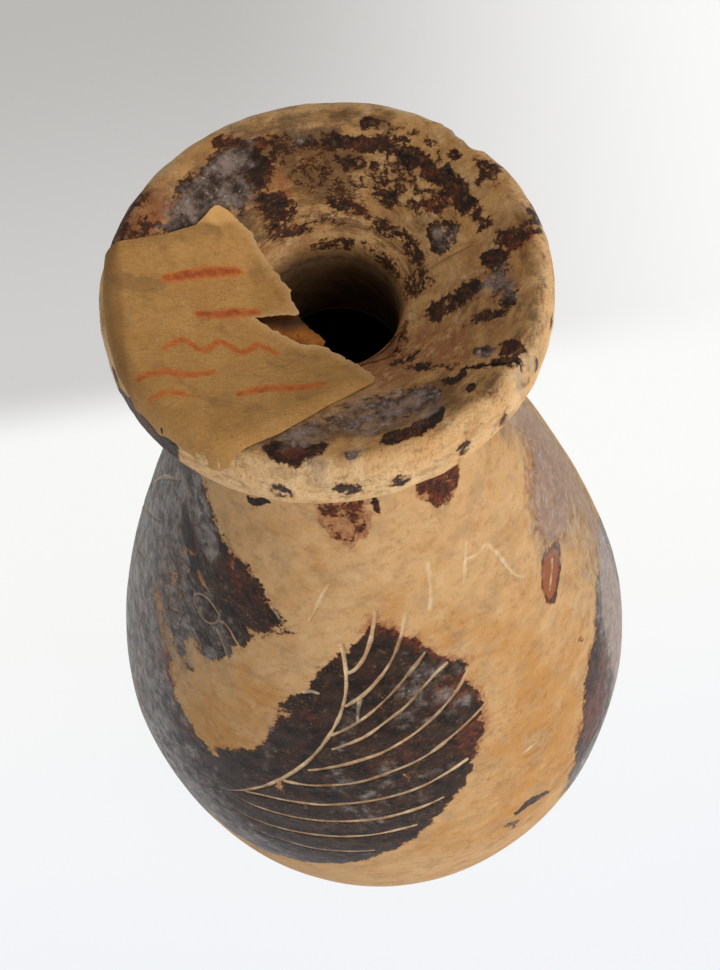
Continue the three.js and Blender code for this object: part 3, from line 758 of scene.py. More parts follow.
def marked(piece, **values):
    """Keeps a value for each point of a piece, for its finish to read."""
    for name, value in values.items():
        kept = piece.data.attributes.new(name, "FLOAT", "POINT")
        kept.data.foreach_set("value", np.asarray(value, np.float32))


def even(share):
    """The same roughness all over, as a shade of grey."""
    return share, share, share, 1


def buff_clay(finish, light, warm, grey, warm_share=None, marks=0.5):
    """Fired buff clay: pale, warm and greyish clouds, streaks left by the wheel, dark and pale grit."""
    clouds = finish.grain(5, 7, (1, 1, 1.2), rough=0.62)
    if warm_share:
        clouds = finish.plus(finish.times(clouds, 0.55), finish.times(warm_share, 0.6))
    tone = finish.blend(finish.step(clouds, 0.15, 0.85), light, warm)
    tone = finish.wash(tone, grey, finish.patches(0.45, 0.95, 2.6, 7, rough=0.62), 0.7)
    streaks = finish.patches(0.42, 1.0, 1.3, 8, (0.75, 0.75, 1.2), rough=0.64)
    tone = finish.wash(tone, dye(156, 106, 58), streaks, marks)
    rubbed = finish.patches(0.5, 1.05, 2.2, 9, rough=0.7)
    tone = finish.wash(tone, dye(234, 198, 148), rubbed, marks)
    scuffs = finish.times(finish.patches(0.5, 0.9, 0.8, 8, (0.9, 0.9, 1.2), rough=0.7),
                          finish.patches(0.5, 0.8, 5.3, 4))
    tone = finish.wash(tone, dye(116, 84, 54), scuffs, marks)
    grit = finish.patches(0.8, 1.0, 0.24, 4)
    return finish.wash(tone, dye(104, 70, 40), grit, marks * 0.8)


def worn_slip(finish, clay, share, red, film=None, size=0.8, net=0.0, black=dye(12, 11, 10), brown=dye(68, 47, 34),
              thin_film=dye(64, 56, 51), thick_film=dye(172, 160, 151)):
    """Slip over clay: black where it is whole, brown and rusty where it is thin, flaked off in islands
    or into a net of cracks, under a film partly of bloom and partly of painted sheen. Returns the colour and where
    the slip is whole."""
    flakes = finish.plus(finish.times(finish.grain(size * 1.5, 9, rough=0.68), 0.52),
                         finish.times(finish.grain(size * 0.35, 7, rough=0.7), 0.32))
    flakes = finish.plus(flakes, finish.times(finish.chips(size * 0.45), 0.24))
    if net:
        ridges = finish.calc("ABSOLUTE", finish.minus(finish.grain(size * 2.1, 8, low=0.3, high=0.7, rough=0.66),
                                                      0.5))
        flakes = finish.plus(finish.times(flakes, 1 - net), finish.times(ridges, 2.4 * net))
    left = finish.minus(share, flakes)
    whole = finish.step(left, -0.03, 0.05)
    reddened = finish.step(finish.minus(red, finish.grain(size * 1.2, 9, rough=0.7)), -0.25, 0.35)
    reddened = finish.times(reddened, finish.step(finish.grain(size * 0.55, 8, rough=0.74), 0.05, 0.85, 0.25, 1.0))
    stained = finish.times(finish.step(left, -0.24, 0.04), 0.6)
    clay = finish.blend(finish.larger(finish.times(reddened, 0.75), finish.step(red, 1.4, 2.0, 0.0, 0.9)), clay,
                        dye(152, 84, 56))
    tone = finish.blend(stained, clay, dye(128, 76, 40))
    slip = finish.blend(finish.grain(size * 1.8, 8, rough=0.66), black, brown)
    slip = finish.wash(slip, dye(72, 37, 25), finish.patches(0.52, 0.85, size * 2.6, 8, rough=0.65), 0.5)
    slip = finish.wash(slip, dye(88, 48, 26), finish.step(left, 0.3, 0.0), 0.65)
    reds = finish.blend(finish.patches(0.15, 0.85, size * 0.8, 9, rough=0.74), dye(58, 29, 20), dye(136, 66, 35))
    slip = finish.wash(slip, reds, reddened, 0.9)
    crumbs = finish.patches(0.72 - 0.2 * net, 0.95, size * 0.9, 9, rough=0.74)
    slip = finish.wash(slip, dye(128, 88, 44), crumbs, 0.5 + 0.3 * net)
    pits = finish.times(finish.patches(0.72, 0.95, 0.26, 5, rough=0.7), finish.patches(0.35, 0.8, 4.5, 4))
    whole = finish.times(whole, finish.minus(1.0, finish.times(pits, 0.6)))
    tone = finish.blend(whole, tone, slip)
    if film:
        # the grey film clouds the slip: partly real bloom, partly a painted sheen
        clouded = finish.step(finish.minus(film, finish.grain(size * 2.2, 9, rough=0.66)), -0.3, 0.45)
        heavy = finish.step(film, 0.95, 1.5)
        cover = finish.plus(finish.add("MapRange", whole, 0.0, 1.0, 0.4, 0.62).outputs[0], finish.times(heavy, 0.28))
        clouded = finish.times(clouded, cover)
        bloom = finish.blend(finish.patches(0.1, 0.9, size * 1.5, 9, (1.05, 1.05, 0.85), rough=0.66), thin_film,
                             thick_film)
        bloom = finish.wash(bloom, dye(172, 148, 136), heavy, 0.72)
        tone = finish.blend(clouded, tone, bloom)
        # whitish frost in the film: partly real, partly a painted highlight
        frost = finish.times(clouded, finish.patches(0.66, 0.98, size * 0.6, 8, rough=0.7))
        tone = finish.wash(tone, dye(206, 200, 193), frost, 0.85)
    return tone, whole


body_finish = Finish("painted_buff_clay", roughness=0.5, specular_ior_level=0.12)
clay_tone = buff_clay(body_finish, dye(215, 172, 122), dye(200, 146, 86), dye(190, 153, 112),
                      body_finish.larger(body_finish.reads("warm"), 0.0), marks=0.32)
tone, whole = worn_slip(body_finish, clay_tone, body_finish.reads("slip"), body_finish.reads("red"),
                        body_finish.reads("film"))
# the cut lines show less through the film and its painted sheen
veiled = body_finish.minus(1.0, body_finish.times(body_finish.larger(body_finish.reads("film"), 0.0), 0.65))
cut_share = body_finish.times(body_finish.step(body_finish.reads("cut"), 0.1, 0.5), veiled)
broken = body_finish.patches(-0.8, 0.25, 1.6, 5)
cut_tone = body_finish.blend(body_finish.grain(1.8, 6, rough=0.65), dye(160, 116, 76), dye(238, 206, 164))
tone = body_finish.wash(tone, cut_tone, cut_share, broken)
scratch_share = body_finish.times(body_finish.step(body_finish.reads("scratch"), 0.1, 0.7), body_finish.grain(1.1, 6))
tone = body_finish.wash(tone, dye(238, 212, 174), scratch_share, 0.75)
rough = body_finish.blend(whole, even(0.62), even(0.3))
rough = body_finish.plus(rough, body_finish.times(body_finish.grain(1.1, 5), 0.14))
fine = body_finish.reliefs((body_finish.grain(0.35, 5), 0.014), (body_finish.grain(1.6, 6), 0.035), (whole, 0.02))
# darkened almost to black: the slit by the eye, and the inside of the body as painted shade with dirt
tone = body_finish.blend(body_finish.reads("dirt"), tone, dye(30, 19, 12))
body_finish.finish(tone, rough, fine)
body = shaped("painted_body", body_points, body_corners, body_finish.material, 50)
in_slit = [(slit, 0.88, 0.4), *[(spot, -0.7, 0.4) for spot in amber_spots]]
slit_shade = brushed(in_slit, across + 0.4 * shake[:, 0] / stretch, along + 0.4 * shake[:, 1], stretch)
inside = (along > 1) * (from_axis(body_points) < side_radius(along) - 2 * skin)
marked(body, slip=slip_left, red=red_left, film=film_left, warm=warm_left, cut=groove, scratch=scratched,
       dirt=np.where(outer, np.clip(slit_shade, 0, 1), 0.9 * inside))
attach(body, "root")
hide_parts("body")


# ---------------------------------------------------------------------------
# The neck: a short thrown tube of the same clay, left bare.
# Its two spigots stand in the body's socket and the disc's.

neck_finish = Finish("bare_buff_clay", roughness=0.7, specular_ior_level=0.12)
neck_tone = buff_clay(neck_finish, dye(206, 164, 116), dye(192, 142, 92), dye(178, 140, 102))
# the bore is darkened downwards, painted shade with dirt
neck_tone = neck_finish.blend(neck_finish.reads("dirt"), neck_tone,
                              neck_finish.blend(neck_finish.grain(1.4, 6), dye(34, 20, 12), dye(70, 46, 28)))
neck_finish.finish(neck_tone, None, neck_finish.reliefs((neck_finish.grain(0.6, 5, (0.5, 0.5, 1.4)), 0.03)))
spigot_radius, spigot_foot, spigot_top, disc_bottom = 6.9, 84.9, 91.6, 90.4
neck_outline = stepped([
    (bore_radius, spigot_foot), (spigot_radius, spigot_foot), (spigot_radius, shoulder_height),
    (7.9, shoulder_height),
    (neck_radius, 88.15), (7.9, 89.2), (neck_radius, 90.25), (7.9, disc_bottom), (spigot_radius, disc_bottom),
    (spigot_radius, spigot_top), (5.55, spigot_top), (bore_radius, 91.45), (bore_radius, spigot_foot)], 0.8)
neck_points, neck_corners = turned("neck", neck_outline, 128)
neck = shaped("neck_tube", neck_points, neck_corners, neck_finish.material, 50)
in_bore = from_axis(neck_points) < bore_radius + 0.6
marked(neck, dirt=in_bore * np.clip(0.98 - (neck_points[:, 2] - shoulder_height) * 0.03, 0, 0.97))
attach(neck, "root")
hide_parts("neck")


# ---------------------------------------------------------------------------
# The mouth disc: thrown with a dished top and a rolled lip, then stuck on the neck.
# Rings of slip ran round its top and dots round its lip. Most of the slip has flaked off,
# the lip is chipped at the front right and the back, and a crack runs in from the front.

rim_radius, rim_top, crest_radius, hole_radius = 17.5, 97.5, 16.0, 5.9
lip_drop, dish_depth = 2.3, 4.1
under_inner, under_outer, under_rise = 8.75, 16.75, 2.1    # the cone below, from the neck out to the lip


def disc_top(radius):
    """Height of the disc's top: a slope over the hole for what lies across it, the dish, the rolled lip."""
    radius = np.asarray(radius, float)
    share = np.clip((radius - hole_radius) / (crest_radius - hole_radius), 0, 1)
    dish = rim_top - dish_depth * (1 - share) ** 1.2
    over = np.clip((radius - crest_radius) / (rim_radius - crest_radius), 0, 1)
    roll = rim_top - lip_drop * (1 - np.sqrt(1 - over ** 2))
    hole = rim_top - dish_depth - (hole_radius - radius) * 0.2
    return np.where(radius < hole_radius, hole, np.where(radius <= crest_radius, dish, roll))


disc_outline = [(5.44, 91.66), (5.5, 91.85), (5.62, 92.2), (5.74, 92.6), (5.86, 93), (6.02, 93.3), (6.25, 93.52)]
disc_outline += [(radius, float(disc_top(radius))) for radius in np.arange(6.5, 15.9, 0.28)]
disc_outline += [(crest_radius + (rim_radius - crest_radius) * math.sin(turn),
                  rim_top - lip_drop * (1 - math.cos(turn)))
                 for turn in np.linspace(0.02, math.pi / 2, 11)]
edge_foot = (under_outer, 92.5)
disc_outline += stepped([(rim_radius, 94.95), (rim_radius, 93.45), (17.42, 93.05), (17.1, 92.68), edge_foot],
                        0.28)[1:]
disc_outline += stepped([edge_foot, (under_inner, disc_bottom), (socket_radius, disc_bottom), (socket_radius, 91.9),
                         (5.6, 91.9), (5.44, 91.66)], 0.8)[1:]


def disc_marks(points):
    """Where the disc is drawn on, seen from above in millimetres, and which points lie on its top."""
    x, y, one = points[:, 0], points[:, 1], np.ones(len(points))
    radius = from_axis(points)
    top = disc_top(radius) - points[:, 2] < np.where(radius < 6.3, 0.85, 0.6)
    return x, y, one, top


def arc(radius, start, end, width):
    """A ring-shaped brush stroke, by degrees from +X towards the back."""
    turns = np.radians(np.linspace(start, end, 9))
    outward, inward = [[(side * math.cos(turn), side * math.sin(turn)) for turn in turns]
                       for side in (radius + width / 2, radius - width / 2)]
    return outward + inward[::-1]


outer_back = [(-9.6, 8), (-10.4, 10.2), (-8.4, 11.8), (-6.8, 13.4), (-5, 14.2), (-3, 14.2), (-2.6, 12.4),
              (-3.4, 10.6), (-4.8, 10), (-5.6, 8.2), (-7, 8.6)]
outer_left = [(-16.4, 4.4), (-16.4, 6.3), (-15.4, 8.4), (-14, 10.1), (-12.9, 10.4), (-12.6, 9.4), (-13.8, 7.8),
              (-14.4, 6.2), (-14.6, 4.6)]
disc_slip = [
    (outer_back, 0.72, 1.6), ([(-11.6, 7), (-11, 9), (-9.6, 9.6), (-8.6, 8.6), (-9.4, 7.2), (-10.6, 6.4)], 0.92, 1.4),
    ([(-6.4, 12), (-6, 13.8), (-4.6, 14.2), (-3.5, 13.4), (-3.4, 10.8), (-5.4, 10.6)], 1.15, 1.0),
    ([(-15.8, 5.6), (-13, 8), (-11.4, 8.2), (-12, 6.4)], 0.42, 1.4), (outer_left, 0.42, 1.4),
    ([(-9.8, 10.4), (-8.4, 10.6), (-8.2, 8.8), (-9.6, 8.4)], 1.0, 0.8),
    ([(-3.7, 14), (-1.8, 14.1), (0.4, 13.9), (2.4, 13.5), (2.2, 12.7), (0, 12.8), (-1.8, 12.2), (-3.6, 12)], 0.54,
     1.2),
    ([(1.2, 13.7), (3, 13.4), (4.8, 12.9), (5.8, 12), (4.4, 11.7), (3, 12.3), (1.8, 12.8)], 1.0, 0.7),
    (arc(13.2, 45, 66, 1.5), 0.74, 1.2), (arc(13.1, 34, 47, 1.9), 0.8, 1.2), (arc(13, 22, 36, 1.7), 0.84, 1.1),
    (arc(13.1, 12, 24, 1.1), 0.56, 1.0),
    # what is left inside it is a net of cracked slip
    ([(2.2, 12), (4.2, 11.8), (6, 10.8), (4.6, 10.2), (2.6, 10.6)], 0.5, 0.8),
    ([(0.6, 10.6), (3, 10.8), (4.8, 9.6), (4, 8.4), (1.4, 8.6)], 0.3, 1.0),
    ([(4.6, 10.8), (6.6, 10.8), (9.4, 8.2), (10, 6.4), (8.4, 5.6), (6.2, 6.8), (4.6, 8.6)], 0.36, 1.0),
    ([(4.9, 8.7), (6.4, 8.8), (6.9, 7.5), (5.6, 7)], 0.66, 0.9),
    ([(7.8, 7), (9.2, 7.1), (10.9, 6.2), (10.4, 5.3), (9, 5.5), (8.2, 6)], 0.5, 0.8),
    ([(-1.4, 12.2), (2.4, 12.2), (2, 9.6), (-1, 9.4)], 0.3, 1.4),
    ([(8.3, 4.6), (9.8, 5), (10.8, 4), (10.7, 2.6), (9.6, 2), (9, 2.4)], 0.5, 0.6),
    ([(8.2, 5.2), (8.8, 4.4), (9.4, 2.4), (8.8, 2.4)], 0.8, 0.4),
    ([(-3.8, 7.6), (-2.4, 7.8), (-0.6, 7.4), (-0.8, 6.5), (-2.4, 6.1), (-3.9, 6.1)], 0.68, 1.0),
    ([(-4.2, 9.8), (-2.6, 9.8), (-1.6, 8.8), (-2, 7.9), (-3.6, 7.8), (-4.4, 8.6)], 0.78, 1.0),
    ([(-1, 7.9), (1, 8), (2.6, 7.6), (2.4, 6.9), (0.6, 7.1), (-0.8, 7)], 0.5, 0.7),
    ([(0.8, 8.8), (2.8, 8.7), (4.3, 7.6), (3.6, 7), (2, 7.4)], 0.66, 0.8),
    ([(3.8, 7), (5.2, 6.4), (6.8, 4.8), (6.4, 4.4), (5.2, 5.2), (3.8, 6.2)], 0.62, 0.8),
    ([(6.3, 4.7), (7.2, 4.5), (7.8, 2.2), (7, 1.7)], 0.58, 0.7),
    ([(6, 1.3), (7.8, 1.5), (8.4, 0.2), (7.4, -0.9), (6, -0.5)], 0.46, 1.0),
    ([(0.4, 6.2), (2.4, 6.2), (2.2, 5.6), (0.8, 5.6)], 0.5, 0.6),
    ([(-0.8, 5.9), (-0.2, 6.15), (0.6, 6.1), (1.2, 5.8), (0.4, 5.6)], 0.66, 0.7),
    ([(1.7, 5.7), (2.3, 5.8), (2.6, 5.4), (2.1, 5.2)], 0.74, 0.6),
    ([(3.2, 5.2), (3.7, 4.9), (3.4, 4.6)], 0.7, 0.5),
    ([(4.1, 4.6), (4.9, 3.8), (5.5, 2.9), (5.9, 1.6), (5.6, 1.5), (5.1, 2.6), (4.4, 3.6), (3.9, 4.3)], 0.62, 0.7),
    (arc(14.9, 42, 66, 0.5), 0.42, 0.5), ([(4.6, 14.2), (5.8, 13.9), (5.8, 13.5), (4.7, 13.6)], 0.68, 0.5),
    ([(-7.1, 14.3), (-5.6, 14.7), (-5.5, 13.9), (-6.9, 13.6)], 0.66, 0.7),
    ([(6.5, 12.8), (7.2, 12.5), (8.3, 11.7), (8, 11.4), (6.9, 12.2)], 0.6, 0.4),
    ([(11.2, 10), (12.2, 9.2), (11.9, 8.9), (11, 9.6)], 0.7, 0.5),
    ([(12.6, 8.8), (14, 8.6), (15, 7.4), (14.2, 6), (12.9, 6.6)], 0.46, 1.2),
    ([(16, 4.4), (17.2, 4.2), (17.3, 2), (16, 1.2)], 0.5, 1.0),
    ([(12, 0), (13.2, 1.2), (13.6, 2.2), (15, 2), (16.6, 2.4), (17.2, 1.2), (15.4, 0.2), (13.8, -0.9), (12.4, -1.4)],
     0.5, 0.9),
    ([(12, 0.4), (13.4, 0.7), (13.9, -0.6), (12.6, -1.3)], 0.84, 0.6),
    ([(12.2, -1.4), (13.8, -1.2), (14, -4.6), (12.8, -4.8)], 0.5, 1.2),
    ([(7.3, -2.3), (9.8, -1.6), (12, -1.5), (12.6, -2.4), (11, -3), (9, -4), (7.4, -3.9)], 0.6, 0.9),
    ([(10.2, -1.9), (11.8, -1.7), (12.2, -2.7), (10.8, -2.9)], 1.05, 0.6),
    ([(9.6, -5.3), (11.6, -4.7), (13, -5.3), (12, -5.9)], 0.66, 0.7),
    ([(13.2, -4), (13.9, -4), (13.9, -5), (13.3, -5)], 0.9, 0.5),
    ([(4, -6.9), (6.4, -6.4), (6, -7.1), (4.4, -7.4)], 0.6, 0.6),
    ([(10.2, -7.9), (11.4, -8), (11.6, -8.8), (10.6, -8.8)], 0.7, 0.6),
    ([(12, -8.4), (13, -8.1), (13.8, -8.8), (13.6, -9.5), (12.4, -9.5)], 0.96, 0.7),
    ([(7.4, -10.5), (8.2, -10.1), (9.3, -9.6), (9.5, -10.2), (8.4, -10.8), (7.6, -10.8)], 0.8, 0.5),
    ([(8.6, -9.5), (12, -9.7), (13.8, -10.2), (12, -10.4)], 0.8, 0.5),
    ([(9.35, -11.4), (9.8, -11.5), (9.7, -12), (9.3, -11.9)], 1.3, 0.3),
    ([(5.8, -7.8), (6.5, -7.9), (6.9, -8.6), (6, -8.6)], 1.1, 0.4),
    ([(9.3, -12.4), (10.1, -12), (11.6, -11.9), (11.5, -12.6), (10.3, -13), (9.4, -13)], 0.26, 1.2),
    ([(5, -8), (5.6, -7.7), (9.8, -9.2), (9.6, -9.6), (7, -8.9)], 0.44, 0.6),
    ([(2.4, -15.1), (3.2, -14.5), (4.4, -14.3), (5.6, -13.8), (6.4, -13), (7.1, -12.8), (7, -14.2), (6, -14.8),
      (4.9, -15.1), (3.9, -15.4), (3, -15.4)], 0.98, 0.5),
    ([(-6, -14), (-4.4, -14.2), (-2, -14.4), (-1.7, -15.4), (-3.2, -15.9), (-4.6, -16), (-5.6, -15.4)], 0.86, 0.9),
    ([(2, -10.2), (6, -10.1), (7, -11.2), (6.6, -12.6), (4.6, -13.4), (2, -13.2), (1.4, -11.6)], 0.4, 1.4),
    ([(5.4, -10.6), (6.8, -11), (6.9, -12.2), (5.8, -11.8)], 1.0, 0.7),
    ([(-5.6, -13.2), (-2, -11.6), (1.6, -10.4), (1.8, -13), (-2, -14.2), (-5.6, -14.6)], 0.27, 1.4),
    ([(0.1, -12.6), (1.1, -12.8), (1, -13.4), (0.1, -13.3)], 1.2, 0.5),
    ([(4.2, -4.4), (5.4, -3.4), (5.3, -5.6), (4.4, -6.6)], 0.6, 1.2),
    ([(-0.2, -15.8), (0.8, -15.9), (0.7, -16.3), (-0.1, -16.3)], 0.66, 0.5),
    ([(-5.5, 15.1), (-3.4, 15.2), (-2.6, 14.8), (-3.4, 14.2), (-5, 14.2)], -0.9, 0.5),
    (arc(7.65, 56, 118, 0.4), -0.85, 0.4), (arc(6.45, 62, 132, 0.35), -0.9, 0.4),
]
disc_red = [
    ([(-15.4, 6), (-14, 8.6), (-12.2, 10.6), (-10.8, 10.4), (-11.4, 7.6), (-13, 6)], 0.6, 1.8),
    ([(-3.9, 14.1), (-3, 14.1), (-3, 13.3), (-3.7, 13.3)], 1.5, 0.5),
    ([(-7.1, 14.3), (-5.6, 14.6), (-5.6, 13.8), (-6.9, 13.6)], 0.8, 0.6), (outer_left, 0.5, 1.6),
    ([(-2.9, 11.8), (-1.7, 11.6), (-1.6, 9.4), (-2.7, 9.4)], 1.1, 0.7),
    ([(-4.4, 9.6), (-2, 9.8), (-1.6, 8), (-4, 7.8)], 0.3, 0.8),
    ([(-3.9, 7.6), (-1.4, 7.6), (-1.6, 6.2), (-3.6, 6)], 0.5, 0.7),
    ([(2.4, 13.4), (4.6, 12.9), (5.6, 12), (3.4, 12.2)], 0.7, 0.7), (arc(13, 28, 47, 1.3), 0.5, 0.8),
    ([(8, 7), (9.2, 7), (10.8, 6.2), (10.4, 5.4), (9, 5.6), (8.2, 6)], 0.7, 0.6), (arc(8.4, 58, 74, 1.0), 0.65, 0.8),
    ([(12.2, 0), (13.8, 1.6), (16.4, 1.6), (16.6, 0.2), (14, -1), (12.4, -1.4)], 0.5, 1.0),
    ([(3.4, -14.8), (5.4, -13.8), (6, -14.2), (4, -15.2)], 0.6, 0.5),
    ([(12.4, -8.2), (13.6, -8.6), (13.4, -9.4), (12.2, -9.2)], 0.6, 0.8),
    ([(-5.2, -14.4), (-3.2, -14.6), (-3.2, -15.5), (-4.8, -15.6)], 1.0, 0.7),
    ([(3.4, -15), (5, -14.6), (5.4, -15), (4, -15.4)], 0.9, 0.5),
    ([(4, -3.6), (5.2, -3.4), (5, -5.6), (4, -6)], 0.7, 1.2),
    ([(8, -2.4), (9.4, -2.2), (9, -3.9), (7.6, -3.8)], 0.55, 1.0),
]
disc_scrape = [([(1.6, -6.2), (3.4, -5), (5.6, -4), (8, -4.2), (10.4, -5.4), (10.2, -8), (10.4, -9.2), (7, -9),
                 (3, -9.8), (2.4, -8.4)], 1.0, 1.6), (arc(12, -36, 12, 6.5), 0.3, 3.0),
               (arc(6.6, 60, 130, 0.9), 0.35, 1.2),
               ([(-15, 6.4), (-13.8, 9), (-11.8, 11), (-10.8, 10.6), (-11.2, 8), (-12.6, 6.2)], 0.85, 1.6),
               ([(13.6, 2), (15.4, 1.6), (16.6, 1.8), (15.6, 0.5), (14, 0.8)], 0.9, 0.7)]
disc_stain = [
    (outer_back, 0.8, 2.4), (outer_left, 1.1, 2.0), (arc(13.4, 78, 108, 2.2), 1.1, 1.2),
    ([(-2.6, 13.6), (2.8, 13.4), (4.6, 11), (3, 8.6), (-1, 8.8), (-2.2, 11)], 0.85, 2.0),
    (arc(11, 20, 110, 5.4), 0.36, 3.0),
    (arc(15.1, 62, 112, 1.7), 0.72, 1.4), (arc(15.8, -50, 12, 2.0), 0.7, 2.4), (arc(12, -42, -8, 5), 0.5, 3.0),
    (arc(7.2, 0, 130, 1.6), 0.6, 1.4),
    ([(-7, -13), (7.4, -9.6), (8, -14), (-6, -15)], 0.8, 2.4),
    ([(-6.4, 11), (-4.6, 11), (-2, 9), (-4, 5.6), (-6.6, 7)], 0.7, 1.6),
]
# a grey film over the slip on the disc, partly real bloom and partly a painted sheen
disc_film = [([(-12.6, 7), (-11.2, 10), (-9, 12), (-6.6, 13.6), (-4.4, 13.8), (-4.8, 10.8), (-5.4, 7), (-6.4, 6),
               (-9, 6.6)], 0.75, 2.2),
             ([(-6, -13.4), (0, -10.6), (4, -10), (6.8, -11.4), (6, -13.4), (0, -14.2), (-5, -14.6)], 0.95, 1.6),
             ([(-1.3, 14.1), (-0.1, 15.4), (1.3, 15.6), (2.4, 14.9), (2.2, 14.1), (0.4, 13.4), (-1.2, 13.4)], 0.62,
              1.6), ([(8.5, 4.5), (10, 4.4), (10.8, 2.8), (10.3, 1.8), (8.9, 2.2)], 0.66, 1.0),
             ([(-4.8, -13.6), (-3.9, -12.8), (-2.5, -12.4), (-1.8, -13.4), (-2.9, -14.1), (-4.5, -14.2)], 1.5, 1.4),
             ([(-0.4, -15.6), (1, -15.7), (0.9, -16.5), (-0.3, -16.5)], 1.2, 0.6),
             ([(-3.2, -16), (-2, -15.9), (-2, -17.2), (-3.2, -16.9)], 1.0, 0.8),
             ([(11.4, -2.4), (13.8, -1), (14, -4.6), (12.4, -4.6)], 0.6, 1.6),
             ([(10.2, -7.8), (11.6, -7.9), (11.6, -8.9), (10.4, -8.9)], 0.8, 0.8),
             ([(15, 4.6), (17.2, 4), (17, 2), (15.6, 2.4)], 0.5, 1.0)]
crack_line = flowing([(9.2, -9.5), (10.2, -9.8), (11.2, -9.9), (12.3, -10.15), (13, -10.05), (13.9, -10.5)])
fine_scratch = [(7.8, 1.05), (9.6, 1.4), (11.6, 1.75)]


def disc_detail(points):
    x, y, one, top = disc_marks(points)
    crack = distance_to(crack_line, x, y, one, 0.9)
    return np.where(top & (crack < 0.35), 0.15, 9.0)


disc_points, disc_corners = turned("mouth_disc", disc_outline, 300)
disc_points, disc_corners = finer(disc_points, disc_corners, disc_detail, 4)

x, y, one, top = disc_marks(disc_points)
disc_radius = np.hypot(x, y)
shake = tremble(disc_points, 0.34)
disc_slip_left, disc_red_left, scrape_left, film_left, stain_left = [
    np.where(top, brushed(areas, x + shake[:, 0], y + shake[:, 1], one), bare)
    for areas in (disc_slip, disc_red, disc_scrape, disc_film, disc_stain)]
ragged_gap = 0.11 * (1 + 0.9 * np.clip(uneven(disc_points, 1.1, 3), -0.7, 0.9))
crack, scratch = [top * np.clip(1 - distance_to(line, x, y, one, 0.9) / half_width, 0, 1)
                  for line, half_width in ((crack_line, ragged_gap), (fine_scratch, 0.2))]
crack = np.maximum(crack, 0.45 * scratch)

# dots of slip round the lip, some nearly gone, and a longer dark patch at the left
lip_across, lip_along, lip_stretch = unrolled(disc_points)
lip_across, lip_along = lip_across + 0.5 * shake[:, 0] / lip_stretch, lip_along + 0.5 * shake[:, 2]
lip = (disc_radius > 16.2) & (disc_points[:, 2] > 92.6)
dot_places = [(-17.4, 94.8, 0.4, 2.9), (-1.6, 95, 0.48, 3.9), (11.2, 94.9, 0.58, 2.7), (28.6, 94.9, 0.6, 2.4),
              (42, 94.3, 0.42, 1.6), (57.5, 95.2, 0.42, 1.5)]
dot_places += [(71 + 13.5 * count, 94.8 + 0.25 * math.sin(count * 2.4), 0.66 + 0.25 * math.sin(count * 1.7), 2.2)
               for count in range(17)]
lip_dots = [([(a - w, z), (a - w * 0.6, z + 0.8), (a + w * 0.4, z + 0.8), (a + w, z + 0.1), (a + w * 0.6, z - 0.8),
              (a - w * 0.5, z - 0.8)], share, 0.6) for a, z, share, w in dot_places]
lip_dots.append(([(-72, 93.2), (-66, 95.6), (-58, 96.3), (-50, 96.2), (-45.5, 95.4), (-46.5, 93.6), (-50, 92.8),
                  (-60, 93)], 0.85, 0.9))
lip_reds = [([(-36, 94), (-33.5, 95.9), (-31, 94.6), (-33, 94)], 0.55, 0.8),
            ([(18, 94), (20, 94.8), (22.6, 94.2), (20, 93.7)], 0.5, 0.7),
            ([(-68, 93.6), (-62, 96), (-54, 96), (-54, 93)], 0.9, 0.8),
            ([(40, 94.4), (42.4, 94.8), (43, 93.4), (41.6, 93.6)], 0.7, 0.6)]
for shift in (0, 360):
    dotted, reddened = [np.where(lip, brushed(areas, lip_across + shift, lip_along, lip_stretch), bare)
                        for areas in (lip_dots, lip_reds)]
    disc_slip_left, disc_red_left = np.maximum(disc_slip_left, dotted), np.maximum(disc_red_left, reddened)

# chips knocked out of the lip: points inside each hollow are pushed back to its face
fresh = np.zeros(len(disc_points))
for angle, length, depth, height in ((129.5, 8.8, 1.45, 7.2), (52, 3.4, 0.8, 3.6)):
    turn = math.radians(angle)
    # the chip's own axes: round the rim, outwards and up
    axes = np.array([[math.cos(turn), math.sin(turn), 0], [math.sin(turn), -math.cos(turn), 0], [0, 0, 1]])
    centre = axes[1] * (rim_radius + depth) + axes[2] * (rim_top - lip_drop / 2)
    size = np.array([length / 2, depth * 2, height / 2])
    local = (disc_points - centre) @ axes.T / size
    far = np.linalg.norm(local, axis=1) / (1 + 0.18 * uneven(disc_points, 0.8, 4))
    struck = (far < 1) & (disc_points[:, 2] > 92.4)
    local[struck] /= far[struck, None]
    disc_points[struck] = (centre + (local * size) @ axes)[struck]
    fresh = np.maximum(fresh, np.clip((1.12 - far) / 0.12, 0, 1))

rings = np.array([noise.noise((0.2, 3.3, radius * 0.9)) for radius in disc_radius])
waves = uneven(disc_points, 0.16, 3)
outside = (disc_radius > 6.2) & (disc_points[:, 2] > 91)
turned_to = np.degrees(np.arctan2(disc_points[:, 1], disc_points[:, 0]))
ridge = np.exp(-((disc_radius - 7.65) / 0.22) ** 2) + 0.8 * np.exp(-((disc_radius - 6.45) / 0.2) ** 2)
ridge *= np.clip(1.6 - np.abs(turned_to - 90) / 36, 0, 1)
relief = 0.035 * rings + 0.1 * waves + 0.07 * ridge + 0.02 * np.clip(disc_slip_left, 0, 1) - 0.2 * crack
disc_points[:, 2] += relief * (outside & top)
disc_points[:, :2] *= (1 + 0.09 * uneven(disc_points, 0.45, 4) * lip / rim_radius)[:, None]


